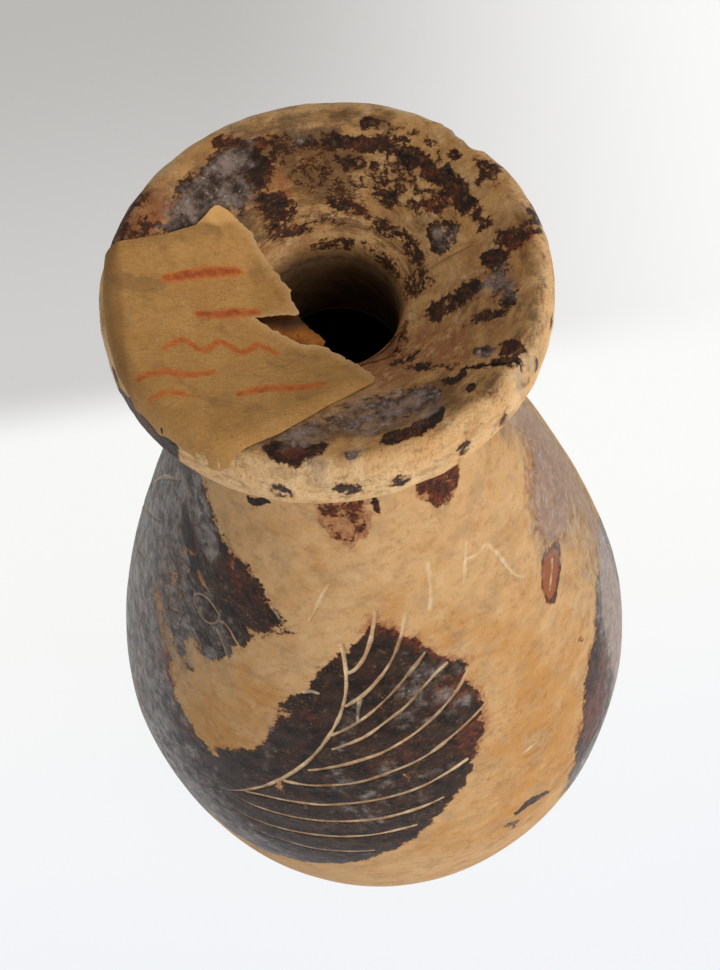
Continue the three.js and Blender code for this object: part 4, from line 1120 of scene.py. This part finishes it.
def follow_wheel(finish):
    """Measures the patterns round the axis from here on, so that streaks run the way the brush went."""
    flat = finish.vector("MULTIPLY", finish.place, (1, 1, 0))
    round_axis = finish.vector("MULTIPLY", finish.vector("NORMALIZE", flat), (0.01, 0.01, 0))
    reach = finish.larger(finish.vector("LENGTH", flat, result="Value"), 0.001)
    rings = finish.times(finish.calc("LOGARITHM", reach, math.e), 0.013)
    below = finish.larger(finish.minus(0.0955, finish.along((0, 0, 1))), 0.0)
    drop = finish.times(below, finish.calc("DIVIDE", 0.01, reach))
    up = finish.add("CombineXYZ", 0.0, 0.0, finish.minus(rings, drop)).outputs[0]
    finish.place = finish.vector("ADD", round_axis, up)


disc_finish = Finish("flaking_slip_on_clay", roughness=0.5, specular_ior_level=0.2)
# the disc's clay is set darker than the body's, for dirt and for painted shade on a top that faces away from the lamp
disc_clay = buff_clay(disc_finish, dye(208, 161, 104), dye(192, 139, 81), dye(174, 133, 87))
# painted highlight: a lighter copy of the clay on the rolled lip, which faces the lamp, and on the two rings by the
# hole
bright = disc_finish.reads("bright")
rubbed_clay = buff_clay(disc_finish, dye(254, 212, 158), dye(246, 192, 130), dye(236, 196, 144))
disc_clay = disc_finish.blend(bright, disc_clay, rubbed_clay)
pits, crumbs, lumps = disc_finish.grain(0.3, 5), disc_finish.grain(0.7, 7, rough=0.65), disc_finish.grain(1.4, 6)
follow_wheel(disc_finish)
mottled = disc_finish.grain(1.3, 9, (0.7, 0.7, 1.4), rough=0.7)
dulled = disc_finish.step(disc_finish.minus(disc_finish.reads("stain"), mottled), -0.35, 0.4)
veil = disc_finish.blend(disc_finish.grain(0.7, 9, (0.6, 0.6, 1.6), rough=0.72), dye(72, 48, 28), dye(124, 90, 56))
disc_clay = disc_finish.wash(disc_clay, veil, dulled, 0.8)
scraped = disc_finish.larger(disc_finish.reads("scrape"), 0.0)
salmon = disc_finish.times(scraped, disc_finish.patches(0.0, 0.6, 0.9, 8, rough=0.65))
salmon_tone = disc_finish.blend(disc_finish.grain(0.5, 8, (0.7, 0.7, 1.4), rough=0.7), dye(122, 70, 40),
                                dye(178, 114, 72))
disc_clay = disc_finish.wash(disc_clay, salmon_tone, salmon, 0.85)
disc_tone, disc_whole = worn_slip(
    disc_finish, disc_clay, disc_finish.reads("slip"), disc_finish.reads("red"), disc_finish.reads("film"), size=0.6,
    net=0.62,
    black=dye(14, 12, 11), brown=dye(66, 44, 28), thin_film=dye(74, 57, 48), thick_film=dye(188, 162, 147))
# painted shade with dirt, darkening down the throat of the mouth
dirt_tone = disc_finish.blend(disc_finish.grain(1.1, 6), dye(38, 22, 12), dye(92, 62, 36))
disc_tone = disc_finish.blend(disc_finish.reads("dirt"), disc_tone, dirt_tone)
fresh_tone = disc_finish.blend(disc_finish.grain(0.8, 6), dye(196, 156, 112), dye(232, 206, 168))
disc_tone = disc_finish.wash(disc_tone, fresh_tone, disc_finish.reads("fresh"),
                             disc_finish.patches(0.0, 0.35, 0.9, 6))
disc_tone = disc_finish.blend(disc_finish.step(disc_finish.reads("crack"), 0.1, 0.7), disc_tone, dye(30, 22, 18))
disc_rough = disc_finish.blend(disc_whole, even(0.66), even(0.48))
crumbly = disc_finish.times(crumbs, disc_finish.plus(bright, 0.25))
disc_fine = disc_finish.reliefs((pits, 0.02), (lumps, 0.05), (crumbly, 0.11), (disc_whole, 0.03))
disc_finish.finish(disc_tone, disc_rough, disc_fine)

disc = shaped("dished_mouth_disc", disc_points, disc_corners, disc_finish.material, 50)
disc_radius = from_axis(disc_points)
# darker down the throat: painted shade with dirt
throat = (disc_radius < 6.4) * np.clip((93.6 - disc_points[:, 2]) / 1.9, 0, 0.92)
# the painted highlight lies on the lip and on the rings by the hole
marked(disc, slip=disc_slip_left, red=disc_red_left, scrape=scrape_left, film=film_left, stain=stain_left,
       crack=crack,
       fresh=fresh, dirt=throat, bright=np.maximum(np.clip((disc_radius - 15.9) / 0.9, 0, 1), 0.34 * ridge))
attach(disc, "root")
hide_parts("mouth_disc")


# ---------------------------------------------------------------------------
# The handle: a flat strap of clay, pulled by hand, for the cord that the flask hung from.
# It bows from under the disc down to the shoulder, with a band of slip on its outer face.

strap_half_width, strap_half_thickness = 5, 1.7
handle_reach, handle_foot_height, handle_bow = 13.3, 72, 11


def strap_tree():
    """Runs a strap's section along its path."""
    tree = NodeTree("strap along a path", Path="Object", Section="Object")
    path, section = [tree.add("GeometryNodeObjectInfo", Object=tree.given[name])["Geometry"]
                     for name in ("Path", "Section")]
    upright = tree.add("GeometryNodeSetCurveNormal", {"mode": "MINIMUM_TWIST"}, Curve=path)[0]
    return tree.finished(tree.add("GeometryNodeCurveToMesh", Curve=upright, Profile_Curve=section, Fill_Caps=True)[0])


def strap_edge(turn, hollow=0.0):
    """The strap's section: flat faces, round edges, and a hollow of a depth down the middle."""
    wide = math.copysign(abs(math.cos(turn)) ** 0.75, math.cos(turn)) * strap_half_width
    half = strap_half_thickness - hollow * math.exp(-(wide / 2.2) ** 2)
    return wide, math.copysign(abs(math.sin(turn)) ** 0.7, math.sin(turn)) * half


def disc_underside(radius):
    """Height of the disc's underside, flat by the neck and rising to the lip."""
    return disc_bottom + under_rise * np.maximum((np.asarray(radius, float) - under_inner) / 8.05, 0)


def off_shoulder(height, distance):
    """A point at a distance from the shoulder's surface, as radius and height."""
    slope = float(side_radius(height) - side_radius(height - 0.01)) / 0.01
    scale = distance / math.hypot(1, slope)
    return float(side_radius(height)) + scale, height - slope * scale


handle_top = (handle_reach, float(disc_underside(handle_reach)) + 1)
handle_knots = np.array([handle_top, (handle_top[0] + 5.6, handle_top[1] - 8),
                         off_shoulder(handle_foot_height, handle_bow), off_shoulder(handle_foot_height, -1)])
path_steps = 60
handle_path = []
for share in np.linspace(0, 1, path_steps + 1):
    weights = (1 - share) ** 3, 3 * share * (1 - share) ** 2, 3 * share ** 2 * (1 - share), share ** 3
    handle_path.append((0, *[sum(w * k for w, k in zip(weights, knots)) for knots in handle_knots.T]))
# the thumb leaves a shallow hollow down the middle
strap_section = [(*strap_edge(turn, 0.14), 0) for turn in np.linspace(0, 2 * math.pi, 56, endpoint=False)]
path_line = drawn_line("handle_path", handle_path)
section_line = drawn_line("handle_section", strap_section)
section_line.data.splines[0].use_cyclic_u = True
handle_points, handle_corners = made_by(strap_tree(), "handle", Path=path_line, Section=section_line)
for spare in (path_line, section_line):
    bpy.data.objects.remove(spare)
handle_points[:, 0] *= 1 + 0.02 * uneven(handle_points, 0.3, 3)
centre_line = np.array(handle_path)
nearest = np.argmin(((handle_points[:, None, 1:] - centre_line[None, :, 1:]) ** 2).sum(2), axis=1)
outward = ((handle_points - centre_line[nearest])[:, 1] > 0.4) & (np.abs(handle_points[:, 0]) < 4.2)
mid_strap = np.clip(1 - np.abs(nearest / path_steps - 0.45) / 0.5, 0, 1)

handle_finish = Finish("painted_strap_clay", roughness=0.55, specular_ior_level=0.4)
strap_tone = buff_clay(handle_finish, dye(208, 166, 118), dye(194, 144, 94), dye(180, 142, 104))
strap_tone, strap_whole = worn_slip(handle_finish, strap_tone, handle_finish.reads("slip"),
                                    handle_finish.reads("red"))
strap_rough = handle_finish.blend(strap_whole, even(0.62), even(0.4))
handle_finish.finish(strap_tone, strap_rough, handle_finish.reliefs((handle_finish.grain(0.5, 5), 0.03)))
handle = shaped("strap_handle", handle_points, handle_corners, handle_finish.material, 55)
marked(handle, slip=outward * (0.4 + 0.6 * mid_strap), red=outward * 0.5 * (1 - mid_strap))
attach(handle, "root")
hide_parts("handle")


# ---------------------------------------------------------------------------
# The lutings: slip clay smeared into the angles where the pieces were stuck together.
# A collar runs round each end of the neck, and a pad round each end of the strap.

luting_finish = Finish("smeared_slip_clay", roughness=0.7, specular_ior_level=0.35)
luting_tone = buff_clay(luting_finish, dye(196, 152, 104), dye(180, 130, 82), dye(160, 120, 82))
luting_finish.finish(luting_tone, None, luting_finish.reliefs((luting_finish.grain(0.9, 4, (0.6, 0.6, 1.2)), 0.08)))


def luted(name, points, corners, node):
    piece = shaped(name, points, corners, luting_finish.material, 60)
    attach(piece, "root")
    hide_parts(node)


def smeared(points, amount=0.12):
    """Finger dabs round a collar, of a depth in millimetres."""
    turn = np.arctan2(points[:, 0], points[:, 1])
    dab = np.array([noise.noise((math.cos(t) * 3.1, math.sin(t) * 3.1, z * 0.4)) for t, z in zip(turn, points[:, 2])])
    shift = np.clip(amount * dab, -amount / 2, amount / 2)
    points[:, :2] *= (1 + shift / from_axis(points))[:, None]
    return points


surface = [off_shoulder(height, 0.06) for height in np.linspace(87.9, 86.9, 6)]
neck_collar = [(8.06, 88.25), *surface, (surface[-1][0] + 0.25, surface[-1][1] + 0.06), (9.2, 87.45), (8.75, 88.0),
               (8.45, 88.6), (8.3, 89.0), (8.12, 89.05), (8.06, 88.95), (8.06, 88.25)]
disc_collar = [(8.06, 89.6), (8.2, 89.55), (8.4, 89.7), (8.8, 90.0), (9.1, 90.2), (9.1, 90.3), (8.6, 90.32),
               (8.06, 90.32), (8.06, 89.6)]
for name, outline, node in (("neck_collar", neck_collar, "neck_luting"), ("disc_collar", disc_collar, "disc_luting")):
    collar_points, collar_corners = turned(node, outline, 96)
    luted(name, smeared(collar_points), collar_corners, node)


def pad(place_on, steps=64):
    """A fillet of clay round the strap's end. place_on gives a point from (across, down, lift)."""
    rows = [(-0.3, 0.06), (1.0, 0.06), (1.75, 0.06), (1.85, 0.18), (1.5, 0.45), (1.05, 0.85), (0.65, 1.3), (0.3, 1.7),
            (-0.3, 2.0), (-0.35, 0.9)]
    points, corners = [], []
    for reach, lift in rows:
        for turn in np.linspace(0, 2 * math.pi, steps, endpoint=False):
            wide, thick = strap_edge(turn)
            wobble = 1 + 0.12 * noise.noise((math.cos(turn) * 2, math.sin(turn) * 2, lift))
            away = np.array([math.cos(turn), math.sin(turn)]) * reach * wobble
            points.append(place_on(wide + away[0], thick + away[1], lift))
    for row in range(len(rows)):
        for step in range(steps):
            this, after = row * steps, (row + 1) % len(rows) * steps
            corners.append((after + step, after + (step + 1) % steps, this + (step + 1) % steps, this + step))
    return np.array(points), corners


def on_shoulder(wide, down, lift):
    slope = math.atan(0.39)
    radius, height = off_shoulder(handle_foot_height + down * math.cos(slope), lift)
    turn = wide / float(side_radius(handle_foot_height))
    return radius * math.sin(turn), radius * math.cos(turn), height


def under_disc(wide, back, lift):
    y = handle_reach + 0.7 + back
    return wide, y + lift * 0.55, float(disc_underside(min(math.hypot(wide, y), under_outer - 0.05))) - lift


luted("strap_foot_pad", *pad(on_shoulder), "handle_foot_luting")
luted("strap_top_pad", *pad(under_disc), "handle_top_luting")


# ---------------------------------------------------------------------------
# The label: gummed kraft paper, cut straight on two sides and torn on the side by the mouth.
# It lies in the dish, bends over the lip at the left and carries a few loose crayon strokes.

label_width, label_length, label_lift, label_thickness = 19.6, 23.3, 0.5, 0.3
label_left, label_front = -16.9, -14.8
label_outline = [
    (0.02, 0.85), (0.15, 0.88), (0.27, 0.905), (0.385, 0.94), (0.44, 0.985), (0.475, 1), (0.51, 0.985), (0.6, 0.91),
    (0.62, 0.855), (0.67, 0.775), (0.725, 0.7), (0.72, 0.67), (0.74, 0.61), (0.66, 0.605), (0.565, 0.6),
    (0.64, 0.545), (0.685, 0.51), (0.735, 0.48), (0.83, 0.465), (0.88, 0.42), (0.94, 0.36), (1, 0.275), (0.99, 0.26),
    (0.81, 0.18), (0.61, 0.065), (0.412, -0.008), (0.35, 0.014), (0.25, 0.09), (0.16, 0.17), (0.08, 0.27),
    (0.03, 0.38), (0.005, 0.5), (0, 0.65)]
torn_from, torn_to = 4, 21


def on_label(share):
    return label_left + share[0] * label_width, label_front + share[1] * label_length


def paper_edge(outline, torn_from, torn_to, step=0.22, tear=0.16):
    """An outline in small steps, straight where it was cut and ragged where it was torn."""
    edge, torn = [], []
    for index, (start, end) in enumerate(zip(outline, outline[1:] + outline[:1])):
        count = max(int(math.dist(start, end) / step), 1)
        across = np.array([end[1] - start[1], start[0] - end[0]]) / max(math.dist(start, end), 1e-6)
        for share in np.arange(count) / count:
            point = np.array(start) + (np.array(end) - start) * share
            ragged = torn_from <= index < torn_to
            amount = tear * noise.fractal((point[0] * 2.3, point[1] * 2.3, 4.0), 1.0, 2.0, 4) if ragged else 0.0
            edge.append(tuple(point + across * amount))
            torn.append(ragged)
    return edge, torn


def from_line(line, points):
    """How far points lie from a line, seen from above, in millimetres up to 1.5."""
    return distance_to(line, points[:, 0], points[:, 1], np.ones(len(points)))


def dish_at(points):
    """Height of the disc's top below flat points."""
    return disc_top(from_axis(points))


def sheet(edge, spacing, top_of, thickness_of):
    """A closed thin sheet over an outline: fine triangles on top and below, and an edge wall."""
    ring = np.array(edge)
    low, high = ring.min(0), ring.max(0)
    grid = [(x + (spacing / 2 if row % 2 else 0), y)
            for row, y in enumerate(np.arange(low[1], high[1], spacing * 0.87))
            for x in np.arange(low[0], high[0], spacing)]
    grid = np.array(grid)
    deep = depth_inside([tuple(point) for point in ring], grid[:, 0], grid[:, 1], np.ones(len(grid)), 1.0)
    inner = grid[deep > spacing * 0.55]
    flat = [Vector(point) for point in np.concatenate([ring, inner])]
    count = len(ring)
    made = geometry.delaunay_2d_cdt(flat, [(i, (i + 1) % count) for i in range(count)], [], 1, 1e-5)
    flat_points, triangles, origins = made[0], made[2], made[3]
    plane = np.array([tuple(point) for point in flat_points])
    order = {old: new for new, olds in enumerate(origins) for old in olds}
    loop = [order[index] for index in range(count)]
    top, thick = top_of(plane), thickness_of(plane)
    upper, lower = np.column_stack([plane, top]), np.column_stack([plane, top - thick])
    size = len(plane)
    corners = [tuple(face) for face in triangles] + [tuple(size + corner for corner in face[::-1])
                                                     for face in triangles]
    for a, b in zip(loop, loop[1:] + loop[:1]):
        corners.append((b, a, size + a, size + b))
    return np.concatenate([upper, lower]), corners


label_ring = [on_label(share) for share in label_outline][::-1]
label_edge, label_torn = paper_edge(label_ring, len(label_ring) - 1 - torn_to, len(label_ring) - 1 - torn_from)
torn_line = [point for point, torn in zip(label_edge, label_torn) if torn]
cut_line = [point for point, torn in zip(label_edge, label_torn) if not torn]


def label_top(plane):
    waves = np.array([noise.fractal((x * 0.22, y * 0.22, 1.7), 1.0, 2.0, 2) for x, y in plane])
    creases = np.array([noise.noise((x * 0.9, y * 0.5, 8.2)) for x, y in plane])
    torn, cut = from_line(torn_line, plane), from_line(cut_line, plane)
    pressed = np.clip(1 - cut / 1.5, 0, 1) ** 2 * np.clip((plane[:, 0] + 15.8) / 1.6, 0.3, 1)
    curl = 0.12 * np.clip(1 - torn / 1.2, 0, 1) ** 2 - 0.36 * pressed
    flap = np.exp(-((plane[:, 0] + 3.5) ** 2 + (plane[:, 1] - 0.6) ** 2) / 5) * 0.35
    return dish_at(plane) + label_lift + 0.08 + 0.08 * waves + 0.04 * creases + curl + flap


def label_thin(plane):
    return label_thickness * np.clip(0.2 + from_line(label_edge + label_edge[:1], plane) / 1.2, 0.2, 0.5)


label_points, label_corners = sheet(label_edge, 0.26, label_top, label_thin)
strokes = [
    ([(-12, 2.1), (-10.2, 2.6), (-8.4, 3), (-6.6, 3.3)], 0.38, 1.45),
    ([(-9.9, -0.9), (-8.4, -0.8), (-7, -0.4), (-5.5, -0.3)], 0.34, 1.4),
    ([(-12.6, -4.6), (-11.2, -3.6), (-9.8, -4.6), (-8.4, -3.5), (-7, -4.5), (-5.6, -3.5), (-4.4, -4.3)], 0.33, 1.0),
    ([(-14.6, -7.4), (-12.8, -6.9), (-11, -7.2), (-9.2, -6.8)], 0.36, 1.0),
    ([(-7.5, -9.1), (-5.4, -8.5), (-3.2, -8.5), (-1.2, -8.2)], 0.38, 1.1),
    ([(-14, -9.2), (-12.4, -8.9), (-10.8, -9.3)], 0.3, 0.9),
]
crayon = np.zeros(len(label_points))
for line, half, weight in strokes:
    near = from_line(flowing(line), label_points)
    pressed = 1 - 0.14 * np.clip((label_points[:, 0] - line[0][0]) / (line[-1][0] - line[0][0]) * 2 - 1, -1, 1) ** 2
    crayon = np.maximum(crayon, weight * np.clip(1.15 * pressed + 0.1 - near / half * 0.6, 0, 1))
worn_edge = np.clip(1 - from_line(torn_line, label_points) / 0.6, 0, 1)
share_x = (label_points[:, 0] - label_left) / label_width
share_y = (label_points[:, 1] - label_front) / label_length
folded = np.clip((share_y - 0.935 - 0.1 * np.abs(share_x - 0.47)) / 0.012, 0, 1)
# painted shade in the crease where the label bends over the lip at the left
bend = np.clip((-15.1 - label_points[:, 0]) / 0.5, 0, 1) * np.clip((label_points[:, 0] + 17) / 0.6, 0, 1)

paper_finish = Finish("gummed_kraft_paper", roughness=0.66, specular_ior_level=0.3)
paper_tone = paper_finish.blend(paper_finish.grain(4, 6), dye(188, 136, 72), dye(204, 153, 88))
fibres = paper_finish.patches(0.3, 1.0, 0.42, 8, (0.7, 1.7, 1), rough=0.7)
paper_tone = paper_finish.wash(paper_tone, dye(152, 104, 54), fibres, 0.38)
pale_fibres = paper_finish.patches(0.6, 1.0, 0.36, 8, (1.9, 0.6, 1), rough=0.7)
paper_tone = paper_finish.wash(paper_tone, dye(226, 182, 120), pale_fibres, 0.35)
specks = paper_finish.patches(0.84, 1.0, 0.3, 5, rough=0.7)
paper_tone = paper_finish.wash(paper_tone, dye(104, 70, 38), specks, 0.6)
blots = paper_finish.patches(0.66, 1.1, 3.4, 7)
paper_tone = paper_finish.wash(paper_tone, dye(140, 100, 58), blots, 0.6)
# painted shade along the crease at the left
paper_tone = paper_finish.wash(paper_tone, dye(126, 84, 42), paper_finish.reads("bend"), 0.5)
paper_tone = paper_finish.wash(paper_tone, dye(232, 192, 140), paper_finish.reads("worn"), 0.45)
paper_tone = paper_finish.wash(paper_tone, dye(240, 184, 112), paper_finish.reads("folded"), 0.75)
wax = paper_finish.step(paper_finish.minus(paper_finish.reads("crayon"),
                                           paper_finish.grain(0.4, 8, low=0.25, high=0.7, rough=0.7)), -0.1, 0.3)
pressure = paper_finish.plus(paper_finish.reads("crayon"),
                             paper_finish.times(paper_finish.grain(0.6, 8, rough=0.7), 0.9))
wax_tone = paper_finish.blend(paper_finish.step(pressure, 1.0, 2.3), dye(208, 114, 48), dye(152, 50, 18))
paper_tone = paper_finish.wash(paper_tone, wax_tone, wax, 0.85)
paper_fine = paper_finish.reliefs((paper_finish.grain(0.28, 5, (0.7, 1.6, 1)), 0.02),
                                  (paper_finish.grain(2, 4), 0.05))
paper_finish.finish(paper_tone, None, paper_fine)

label = shaped("torn_paper_label", label_points, label_corners, paper_finish.material, 40)
marked(label, crayon=crayon, worn=worn_edge, bend=bend, folded=folded)
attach(label, "root")
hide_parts("paper_label")


# ---------------------------------------------------------------------------
# The older paper under the label: soaked dark with glue, it shows in the torn notch, with a painted shade where the
# label's torn edge overhangs it.

under_shares = [(0.5, 0.66), (0.735, 0.615), (0.765, 0.57), (0.805, 0.525), (0.83, 0.495), (0.815, 0.45), (0.7, 0.42),
                (0.52, 0.47)]
under_ring = [on_label(share) for share in under_shares][::-1]
under_edge, _ = paper_edge(under_ring, 0, len(under_ring), 0.15, 0.1)
under_lift, under_thickness = 0.35, 0.2
under_points, under_corners = sheet(
    under_edge, 0.25, lambda plane: dish_at(plane) + under_lift, lambda plane: np.full(len(plane), under_thickness))
soaked_finish = Finish("glue_soaked_paper", roughness=0.45, specular_ior_level=0.25, coat_weight=0.08,
                       coat_roughness=0.3)
soaked_tone = soaked_finish.blend(soaked_finish.grain(1.1, 5), dye(126, 66, 12), dye(192, 116, 34))
soaked_tone = soaked_finish.blend(soaked_finish.patches(0.7, 1.1, 0.5, 6), soaked_tone, dye(104, 60, 16))
# painted shade: darkest where the label's torn edge overhangs the older paper
soaked_tone = soaked_finish.blend(soaked_finish.reads("deep"), soaked_tone, dye(46, 26, 10))
soaked_finish.finish(soaked_tone, None, soaked_finish.reliefs((soaked_finish.grain(0.5, 5), 0.05)))
under = shaped("older_paper_layer", under_points, under_corners, soaked_finish.material, 40)
torn_side = from_line([on_label(share) for share in ((0.5, 0.6), (0.76, 0.59))], under_points)
# painted shade along the label's torn edge above
marked(under, deep=0.92 * np.clip(1.25 - torn_side, 0, 1))
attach(under, "root")
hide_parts("label_under_layer")


# ---------------------------------------------------------------------------
# The glue: a bead of old amber glue that ran along the front right edge of the mouth.

bead_radius, bead_start, bead_run = 6.35, 14, 50
bead_inner, bead_outer = [], []
for share in np.linspace(0, 1, 40):
    turn = math.radians(bead_start + bead_run * share)
    width = (0.2 + 0.75 * math.exp(-((share - 0.42) / 0.2) ** 2)) * (1 + 0.25 * noise.noise((share * 9, 0.3, 0.7)))
    for radius, side in ((bead_radius, bead_inner), (bead_radius + width, bead_outer)):
        side.append((radius * math.sin(turn), -radius * math.cos(turn)))
bead_ring = bead_inner[::-1] + bead_outer


def bead_rise(plane):
    """Half the bead's thickness: round on top, thin at its edge."""
    return 0.05 + 0.17 * np.sqrt(np.clip(from_line(bead_ring + bead_ring[:1], plane) / 0.45, 0, 1))


bead_points, bead_corners = sheet(bead_ring, 0.14, lambda plane: dish_at(plane) + 0.1 + bead_rise(plane), bead_rise)
glue_finish = Finish("dried_amber_glue", roughness=0.16, specular_ior_level=0.3, transmission_weight=0.3, ior=1.5)
glue_tone = glue_finish.blend(glue_finish.grain(0.8, 4), dye(96, 52, 18), dye(158, 100, 42))
glue_finish.finish(glue_tone, None, glue_finish.reliefs((glue_finish.grain(0.6, 4), 0.03)))
bead = shaped("amber_glue_bead", bead_points, bead_corners, glue_finish.material, 60)
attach(bead, "root")
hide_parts("glue_bead")
